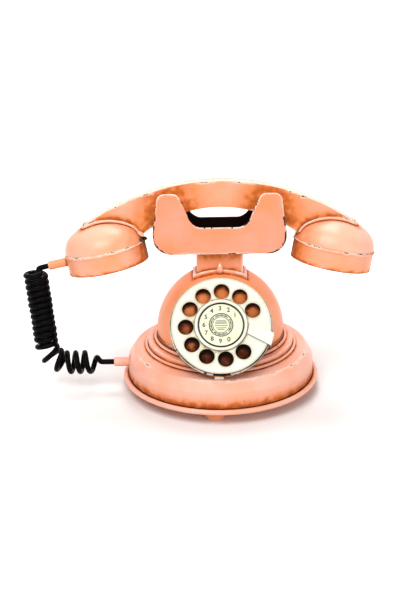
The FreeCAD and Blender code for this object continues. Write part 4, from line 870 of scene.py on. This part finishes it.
class PHONE_OT_base(bpy.types.Operator):
    """Stepped base: skirt, rim, step, collar, wire rings, dome and feet"""
    bl_idname = "phone.base"
    bl_label = "Base"

    def execute(self, context):
        wall, bottom = 1.0, 8.0
        skirt_radius, step_radius, collar_radius = 72.4, 56.6, 49.4
        skirt_top, step_top, collar_top = 35.4, 41.8, 46.0
        skirt = turned("skirt_shell", [
            (skirt_radius - wall, bottom), (skirt_radius, bottom), (skirt_radius, 12.0), (skirt_radius, 16.0),
            (skirt_radius, 20.0), (skirt_radius, 25.2, 2.2), (70.0, 29.3), (67.3, 33.8, 0.7), (63.0, 34.62),
            (61.4, 34.92), (60.4, 35.11), (59.6, 35.27), (58.9, skirt_top), (58.2, skirt_top),
            (56.8, skirt_top), (53.6, skirt_top), (53.6, skirt_top - wall), (58.9, skirt_top - wall),
            (66.8, 32.8), (skirt_radius - wall, 24.7)])
        dented(skirt)
        finished(skirt, "base", "pink_paint", ("skirt",), halo=3, rub=0.66, stain=side_browning)
        rim = ring_wire("rim_roll", radius=74.45, height=10.6, thickness=2.0, joint=90, gap=0.4)
        finished(rim, "base", "pink_paint", ("rim_bead",), halo=11, rub=0.42, soak=0.3)
        step = turned("step_shell", [
            (step_radius - wall, skirt_top), (step_radius, skirt_top), (step_radius, 37.2),
            (step_radius, 38.2), (step_radius, 39.4), (step_radius, step_top, 0.9), (54.0, step_top),
            (53.0, step_top), (52.2, step_top), (51.5, step_top), (50.6, step_top), (46.4, step_top),
            (46.4, step_top - wall), (step_radius - wall, step_top - wall)])
        finished(step, "base", "pink_paint", ("step_ring",), halo=3.2, rub=0.5)
        collar = turned("collar_shell", [
            (collar_radius - wall, step_top), (collar_radius, step_top), (collar_radius, 43.6),
            (collar_radius, collar_top, 0.4), (collar_radius - wall, collar_top, 0.3)])
        finished(collar, "base", "pink_paint", ("collar",), halo=3.2, rub=0.3)
        for level, radius, height, joint, gap in (
                ("lower", 57.8, 36.6, 60, 0.8), ("upper", 50.6, 43.0, -32, 1.4)):
            ring = ring_wire(f"{level}_ring", radius, height, 1.15, joint, gap)
            finished(ring, "base", "pink_paint", (f"{level}_wire_ring",), halo=3.0, rub=0.42, soak=0.2)
        dome = from_node("dome_shell", "dome", 0.2, "XYZ", 5)
        dented(dome)
        finished(dome, "base", "pink_paint", ("dome",), halo=4, finish="peach_paint")
        self.add_feet()
        return {"FINISHED"}

    def add_feet(self):
        """One turned foot, copied to its four places."""
        first = turned("foot_1", [(0, 0), (7.4, 0, 1.2), (8.2, 5.0, 0.8), (8.2, 8.0), (0, 8.0)])
        circle = 60.0
        feet = [first]
        for number in (2, 3, 4):
            choose(first)
            bpy.ops.object.duplicate()
            feet.append(name_piece(f"foot_{number}"))
        for number, foot in enumerate(feet):
            angle = math.radians(90 * number - 95)
            put(foot, Matrix.Translation(mm(circle * math.cos(angle), circle * math.sin(angle), 0)))
            finished(foot, "base", "foot", ("feet",))


def side_browning(vertex):
    """Extra brown on the skirt's wall: more of it low down, and at the left and right."""
    low = within((25 - vertex.co.z / MM) / 13)
    aside = within((abs(vertex.co.x) / MM - 15) / 45)
    return 0.4 * low * aside


def ring_wire(name, radius, height, thickness, joint, gap):
    """A wire bent to a ring whose two ends meet at a joint, in mm and degrees."""
    span = 2 * math.pi - gap / radius
    first = math.radians(joint) + gap / radius / 2
    count = 180
    points = []
    for number in range(count + 1):
        angle = first + span * number / count
        points.append(mm(radius * math.cos(angle), radius * math.sin(angle), height))
    return wire(name, points, thickness * MM, resolution=2)


class PHONE_OT_neck(bpy.types.Operator):
    """Neck, the wire frame at its foot and the teardrop clasp"""
    bl_idname = "phone.neck"
    bl_label = "Neck"

    def execute(self, context):
        neck = from_node("neck_tube", "neck", 0.8, "XZ", 3)
        finished(neck, "cradle", "pink_paint", ("neck",), halo=5, finish="horn_paint")
        trim = from_node("neck_frame", "neck_trim", 0.5)
        finished(trim, "base", "pink_paint", ("neck_trim",), halo=3, rub=0.5, soak=0.2, finish="cup_paint",
                 top_highlight=0.6)
        clasp = from_node("teardrop_clasp", "neck_clasp", 0.0)
        finished(clasp, "base", "pink_paint", ("neck_clasp",), halo=1.8, rub=0.5, soak=0.12,
                 finish="cup_paint", top_highlight=0.9)
        return {"FINISHED"}


class PHONE_OT_cradle(bpy.types.Operator):
    """Cradle plates and the band between them"""
    bl_idname = "phone.cradle"
    bl_label = "Cradle"

    def execute(self, context):
        for source, facing in (("cradle_front", 1), ("cradle_rear", -1)):
            panel = from_node(source + "_plate", source, 0.6, "XZ", 2.5)
            dented(panel, 0.3, 30)
            finished(panel, "cradle", "pink_paint", (source,), halo=15, soak=0.5, finish="cradle_paint")
            # Painted shade: the plates' inner sides are made near black low down
            mark(panel, "inside", [self.shade(vertex, facing) for vertex in panel.data.vertices])
            mark(panel, "sooty", [self.soot(vertex) for vertex in panel.data.vertices])
        band = from_node("cradle_edge_band", "cradle_band", 0.25, "XY", 4)
        # Painted shade: the band's inner faces between the plates are made near black
        bottom, end = 117.2 * MM, 49.8 * MM
        mark(band, "inside", [1.0 if vertex.co.z > bottom and abs(vertex.co.x) < end else 0.0
                              for vertex in band.data.vertices])
        finished(band, "cradle", "pink_paint", ("cradle_band",), halo=2, soak=0.5, finish="cradle_paint")
        return {"FINISHED"}

    def soot(self, vertex):
        """How readily a plate's edge chips: most at the lower corners, less along the sides above them."""
        across, up = abs(vertex.co.x) / MM, vertex.co.z / MM
        outer = within((across - 32) / 8)
        low = 0.35 + 0.65 * within((134 - up) / 8)
        return outer * low * within((152 - up) / 10)

    def shade(self, vertex, facing):
        """How much painted shade a plate's inner side gets: fully dark low down, not at all on the horns."""
        if vertex.normal.y * facing < 0.6:
            return 0.0
        return within((148 - vertex.co.z / MM) / 7)


class PHONE_OT_dial(bpy.types.Operator):
    """Finger wheel, hub ring, bezel, stop, tab and number card"""
    bl_idname = "phone.dial"
    bl_label = "Dial"

    def execute(self, context):
        back = from_node("dial_back", "dial_back_plate", 0.2, "XZ", 1.6)
        turn_back = DIAL.inverted()
        # Painted shade and painted shadows on the plate seen through the finger holes
        mark(back, "grime_and_shade", [self.plate_shadow(turn_back @ vertex.co) for vertex in back.data.vertices])
        finished(back, "base", "pink_paint", ("dial_back_plate",), finish="back_paint", halo=5)
        wheel = from_node("dial_wheel", "finger_wheel", 0.3, "XZ", 1.6)
        mark(wheel, "grime_and_shade", [self.wheel_grime_and_shade(turn_back @ vertex.co, turn_back.to_3x3() @ vertex.normal)
                              for vertex in wheel.data.vertices])
        finished(wheel, "dial", "cream_paint", ("finger_wheel",), halo=2.4, rub=0.56)
        hub = turned("dial_hub_ring", [
            (17.7, 0.0), (HUB_RADIUS, 0.0), (HUB_RADIUS, 1.6, 0.7), (17.7, 1.6, 0.7)], DIAL)
        finished(hub, "dial", "cream_paint", ("hub_ring",), halo=1.6, rub=0.5, soak=0.3)
        stop = from_node("dial_stop", "finger_stop", 0.2, "X", 3)
        downwards = DIAL.to_3x3() @ Vector((0, -1, 0))
        # Painted shadow: the stop's faces that look down are dark, a line along its lower edge
        mark(stop, "grime_and_shade", [1.0 if vertex.normal.dot(downwards) > 0.5 else 0.02
                             for vertex in stop.data.vertices])
        finished(stop, "base", "cream_paint", ("finger_stop",), halo=1.6, rub=0.6, soak=0.3)
        bezel = from_node("dial_bezel_wire", "dial_bezel", 0.15)
        mark(bezel, "grime_and_shade", [self.bezel_grime_and_shade(turn_back @ vertex.co) for vertex in bezel.data.vertices])
        finished(bezel, "base", "cream_paint", ("dial_bezel",), halo=2.0, rub=0.9, soak=0.5)
        tab = from_node("dial_strip", "dial_tab", 0.25, "Z", 3)
        finished(tab, "base", "cream_paint", ("dial_tab",), halo=1.5, rub=0.5, soak=0.2)
        card = turned("dial_card", [(0, 0.3), (16.3, 0.3), (16.3, 1.1, 0.2), (0, 1.1)], DIAL)
        finished(card, "base", "card", ("number_card",), halo=0.8)
        self.add_print()
        return {"FINISHED"}

    def hole_offset(self, spot):
        """From the middle of the nearest finger hole to a spot of the dial, in mm."""
        offsets = []
        for number in range(HOLE_COUNT):
            angle = math.radians(FIRST_HOLE + HOLE_STEP * number)
            offsets.append(Vector((spot.x / MM - HOLE_CIRCLE * math.cos(angle),
                                   spot.y / MM - HOLE_CIRCLE * math.sin(angle))))
        return min(offsets, key=lambda offset: offset.length)

    def plate_shadow(self, spot):
        """Painted shade on the plate: dark where the wheel covers it, a painted shadow above each hole, and
        darker low down.
        """
        offset = self.hole_offset(spot)
        covered = within((offset.length - 2.2) / 3.6)
        above = 0.5 + 0.5 * offset.y / max(0.1, offset.length)
        low = max(0.0, 0.3 - spot.y / (75 * MM))
        return min(1.0, low + covered * (0.15 + 0.75 * above))

    def wheel_grime_and_shade(self, spot, normal):
        """Painted shade on the wheel's edges and in its holes' walls, and dirt with some painted shade a
        little round them on its face.
        """
        if abs(normal.z) < 0.6:
            return 0.9
        across = math.hypot(spot.x, spot.y) / MM
        from_hole = self.hole_offset(spot).length - HOLE_RADIUS
        from_rim = WHEEL_RADIUS - across
        from_hub = across - HUB_RADIUS
        return max(0.03, 0.34 * (1 - from_hole / 2.2), 0.36 * (1 - from_rim / 2.4),
                   0.75 * (1 - from_hub / 1.8))

    def bezel_grime_and_shade(self, spot):
        """The wire gets painted shade along the wheel, where the gap between them is, and is dark close to
        its ends, which lie below the dial.
        """
        from_end = abs(math.degrees(math.atan2(spot.x, -spot.y)))
        beside = 0.95 if spot.z > -2.5 * MM else 0.14
        return min(1.0, max(beside, (19 - from_end) / 6))

    def add_print(self):
        """Plain numbers round the card, two rings, ruled lines in its middle and ticks between the rings."""
        items = [self.add_digit(number, character) for number, character in enumerate("1234567890")]
        low, high = PRINT_HEIGHT - 0.03, PRINT_HEIGHT + 0.03
        for number, (inner, outer) in enumerate(((8.45, 9.25), (6.0, 6.5))):
            profile = [(inner, low), (outer, low), (outer, high), (inner, high)]
            items.append(turned(f"card_ring_{number}", profile, DIAL))
        for number, (up, length) in enumerate((
                (3.2, 7.2), (2.2, 8.8), (1.2, 9.2), (-0.6, 9.6), (-2.4, 8.0), (-3.6, 5.2))):
            place = DIAL @ Matrix.Translation(mm(0, up, PRINT_HEIGHT))
            items.append(self.add_bar(f"card_rule_{number}", place, length, 0.5))
        # Ticks in four groups, with one left out in each
        ticks = 44
        for number in range(ticks):
            if number % 11 == 5:
                continue
            place = DIAL @ Matrix.Rotation(2 * math.pi * number / ticks, 4, "Z") @ Matrix.Translation(
                mm(7.5, 0, PRINT_HEIGHT))
            items.append(self.add_bar(f"card_tick_{number}", place, 1.2, 0.55 + 0.25 * (number % 3)))
        finished(joined(items, "card_print"), "base", "card", finish="ink", halo=0.2)

    def add_digit(self, number, character):
        """One number of the card, upright in its place on a circle."""
        circle, first, step = 12.9, 35, 29
        angle = math.radians(first + step * number)
        text = added(f"card_text_{character}", bpy.ops.object.text_add)
        text.data.body = character
        text.data.align_x = "CENTER"
        text.data.align_y = "CENTER"
        text.data.size = sizes().digit_height * 1.42
        text.data.extrude = 0.03 * MM
        text.data.offset = 0.12 * MM
        choose(text)
        bpy.ops.object.convert(target="MESH")
        digit = name_piece(f"card_number_{character}")
        height = PRINT_HEIGHT + 0.01
        return put(digit, DIAL @ Matrix.Translation(
            mm(circle * math.cos(angle), circle * math.sin(angle), height)))

    def add_bar(self, name, place, length, width):
        """A flat bar of print, its length and width in mm."""
        bar = added(name, bpy.ops.mesh.primitive_cube_add, size=1)
        return put(bar, place @ Matrix.Diagonal((length * MM, width * MM, 0.06 * MM, 1)))


class PHONE_OT_handset(bpy.types.Operator):
    """Handset: arched bar, two cups and the wire ribs on them"""
    bl_idname = "phone.handset"
    bl_label = "Handset"

    def execute(self, context):
        bar = from_node("handset_arch", "handset_bar", 0.9, "XYZ", 4)
        dented(bar, 0.25, 26)
        finished(bar, "handset", "pink_paint", ("handset_bar",), halo=8, soak=1.8, finish="horn_paint",
                 top_highlight=0.8)
        for side, name in ((-1, "earpiece"), (1, "mouthpiece")):
            self.add_cup(side, name)
        return {"FINISHED"}

    def add_cup(self, side, name):
        """Dome, cap and rib of one end."""
        place = cup_place(side)
        profile = dome_profile(0.0) + dome_profile(1.0)[::-1]
        dome = turned(f"{name}_dome", profile, place)
        dented(dome)
        finished(dome, "handset", "pink_paint", (f"{name}_shell",), halo=3, finish="cup_paint",
                 stain=inner_stain(side, -4, 27, 0.3, 0.0))
        cap = from_node(f"{name}_pan", f"{name}_cap", 0.3, "XZ", 3)
        dented(cap, 0.2, 20)
        finished(cap, "handset", "pink_paint", (f"{name}_cap",), halo=1.7, soak=0.5, rub=0.45,
                 top_highlight=0.7, finish="cap_paint", stain=inner_stain(side, 17, 14, 0.85, CAP_FLOOR))
        rib_radius, sunk = 1.1, 0.05
        points = []
        for u, v in rib_way():
            height = dome_height(math.hypot(u, v)) + rib_radius - sunk
            points.append(place @ mm(side * u, v, height))
        rib = wire(f"{name}_wire", points, rib_radius * MM, resolution=3)
        if side < 0:
            self.add_solder(points[0])
        finished(rib, "handset", "pink_paint", (f"{name}_rib",), halo=3.5, rub=0.5, soak=0.14,
                 top_highlight=0.6, finish="cup_paint")

    def add_solder(self, spot):
        """The rough lump that fastens the left rib's front end, and the dark filler below it."""
        place = cup_place(-1)
        lump = self.lump("earpiece_solder", Matrix.Translation(spot + mm(0.6, -0.2, 0.0)) @ Matrix.Rotation(
            0.5, 4, "Y"), (3.4, 1.6, 1.5), 1.0)
        finished(lump, "handset", "pink_paint", halo=4, rub=0.5, soak=0.1)
        fillers = []
        for number, (at, size) in enumerate((
                ((26.6, -11.6, 1.5), (3.0, 1.7, 1.3)), ((29.2, -9.2, 1.0), (2.6, 2.0, 1.5)),
                ((31.0, -5.6, 0.9), (1.9, 2.4, 1.2)))):
            fillers.append(self.lump(f"filler_{number}", place @ Matrix.Translation(mm(*at)), size, 1.3))
        finished(joined(fillers, "earpiece_filler"), "handset", "pink_paint", finish="oiled", halo=2)

    def lump(self, name, place, half_sizes, roughness):
        """A rough lump with its half sizes and its unevenness in mm."""
        lump = added(name, bpy.ops.mesh.primitive_ico_sphere_add, subdivisions=4, radius=1)
        put(lump, place @ Matrix.Diagonal((*(size * MM for size in half_sizes), 1)))
        dented(lump, roughness, 1.5)
        return lump


def inner_stain(side, start, length, most, line):
    """What gives a cup's piece more patina towards its inner end, and a dark line along one height.

    The patina starts at a distance inwards from the cup's axis and is full after a length, all in mm.
    """
    to_cup = cup_place(side).inverted()

    def stain(vertex):
        spot = (to_cup @ vertex.co) / MM
        inner = most * within((-side * spot.x - start) / length) ** 1.5
        return max(inner, 0.9 - abs(spot.z - line) / 1.6)
    return stain


def dome_height(across):
    """Height of a cup's dome above its seam at a distance from its axis, in mm.

    A wide, flat crown runs over into a rounder shoulder.
    """
    top, crown, shoulder, meeting = 21.0, 41.0, 16.0, 24.6
    if across < meeting:
        return top - crown + math.sqrt(crown ** 2 - across ** 2)
    return math.sqrt(max(0.0, shoulder ** 2 - (across - (CUP_RADIUS - shoulder)) ** 2))


def dome_profile(inset):
    """The dome's profile from its seam to its top, drawn in by an inset, in mm."""
    points = []
    count = 40
    nudge = 0.01
    for step in range(count + 1):
        across = CUP_RADIUS * math.sin(math.pi / 2 * (1 - step / count))
        here = dome_height(across)
        rise = (dome_height(max(0, across - nudge)) - here) / nudge if across > nudge else 0.0
        out = Vector((rise, 1.0)).normalized() if across < CUP_RADIUS - 1e-6 else Vector((1.0, 0.0))
        points.append((max(0.0, across - out.x * inset), max(0.0, here - out.y * inset)))
    points[-1] = (0.0, points[-1][1])
    return points


def rib_way():
    """The rib's way over the dome, as distances along and across the bar in mm: up one side, round, back."""
    half, corner, inner, outer = 8.75, 4.0, -29.0, 13.2
    along, round_steps = 24, 6
    way = []
    for number in range(along + 1):
        way.append((inner + (outer - corner - inner) * number / along, -half))
    for number in range(1, round_steps + 1):
        angle = -math.pi / 2 + math.pi / 2 * number / round_steps
        way.append((outer - corner + corner * math.cos(angle), -half + corner + corner * math.sin(angle)))
    return way + [(u, -v) for u, v in reversed(way)]


class PHONE_OT_wear(bpy.types.Operator):
    """Patina, rubbed edges and the painted highlight on tops, on the painted pieces"""
    bl_idname = "phone.wear"
    bl_label = "Wear"

    def execute(self, context):
        weather()
        return {"FINISHED"}


class PHONE_PT_panel(bpy.types.Panel):
    """Lists the telephone's settings and pieces"""
    bl_idname = "PHONE_PT_panel"
    bl_label = "Cradle telephone"
    bl_space_type = "VIEW_3D"
    bl_region_type = "UI"
    bl_category = "Telephone"

    def draw(self, context):
        for group in (context.scene.phone_sizes, context.scene.phone_tones):
            for key in group.__annotations__:
                self.layout.prop(group, key)
        for operator in OPERATORS:
            self.layout.operator(operator.bl_idname)


OPERATORS = (PHONE_OT_stage, PHONE_OT_finishes, PHONE_OT_cord, PHONE_OT_base, PHONE_OT_neck, PHONE_OT_cradle,
             PHONE_OT_dial, PHONE_OT_handset, PHONE_OT_wear)
CLASSES = (PhoneSizes, PhoneTones) + OPERATORS + (PHONE_PT_panel,)


def register():
    for item in CLASSES:
        bpy.utils.register_class(item)
    bpy.types.Scene.phone_sizes = PointerProperty(type=PhoneSizes)
    bpy.types.Scene.phone_tones = PointerProperty(type=PhoneTones)


def unregister():
    del bpy.types.Scene.phone_tones
    del bpy.types.Scene.phone_sizes
    for item in reversed(CLASSES):
        bpy.utils.unregister_class(item)


def main():
    """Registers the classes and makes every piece."""
    register()
    bpy.ops.phone.stage()
    bpy.ops.phone.finishes()
    bpy.ops.phone.cord()
    bpy.ops.phone.base()
    bpy.ops.phone.neck()
    bpy.ops.phone.cradle()
    bpy.ops.phone.dial()
    bpy.ops.phone.handset()
    bpy.ops.phone.wear()


if __name__ == "__main__":
    main()
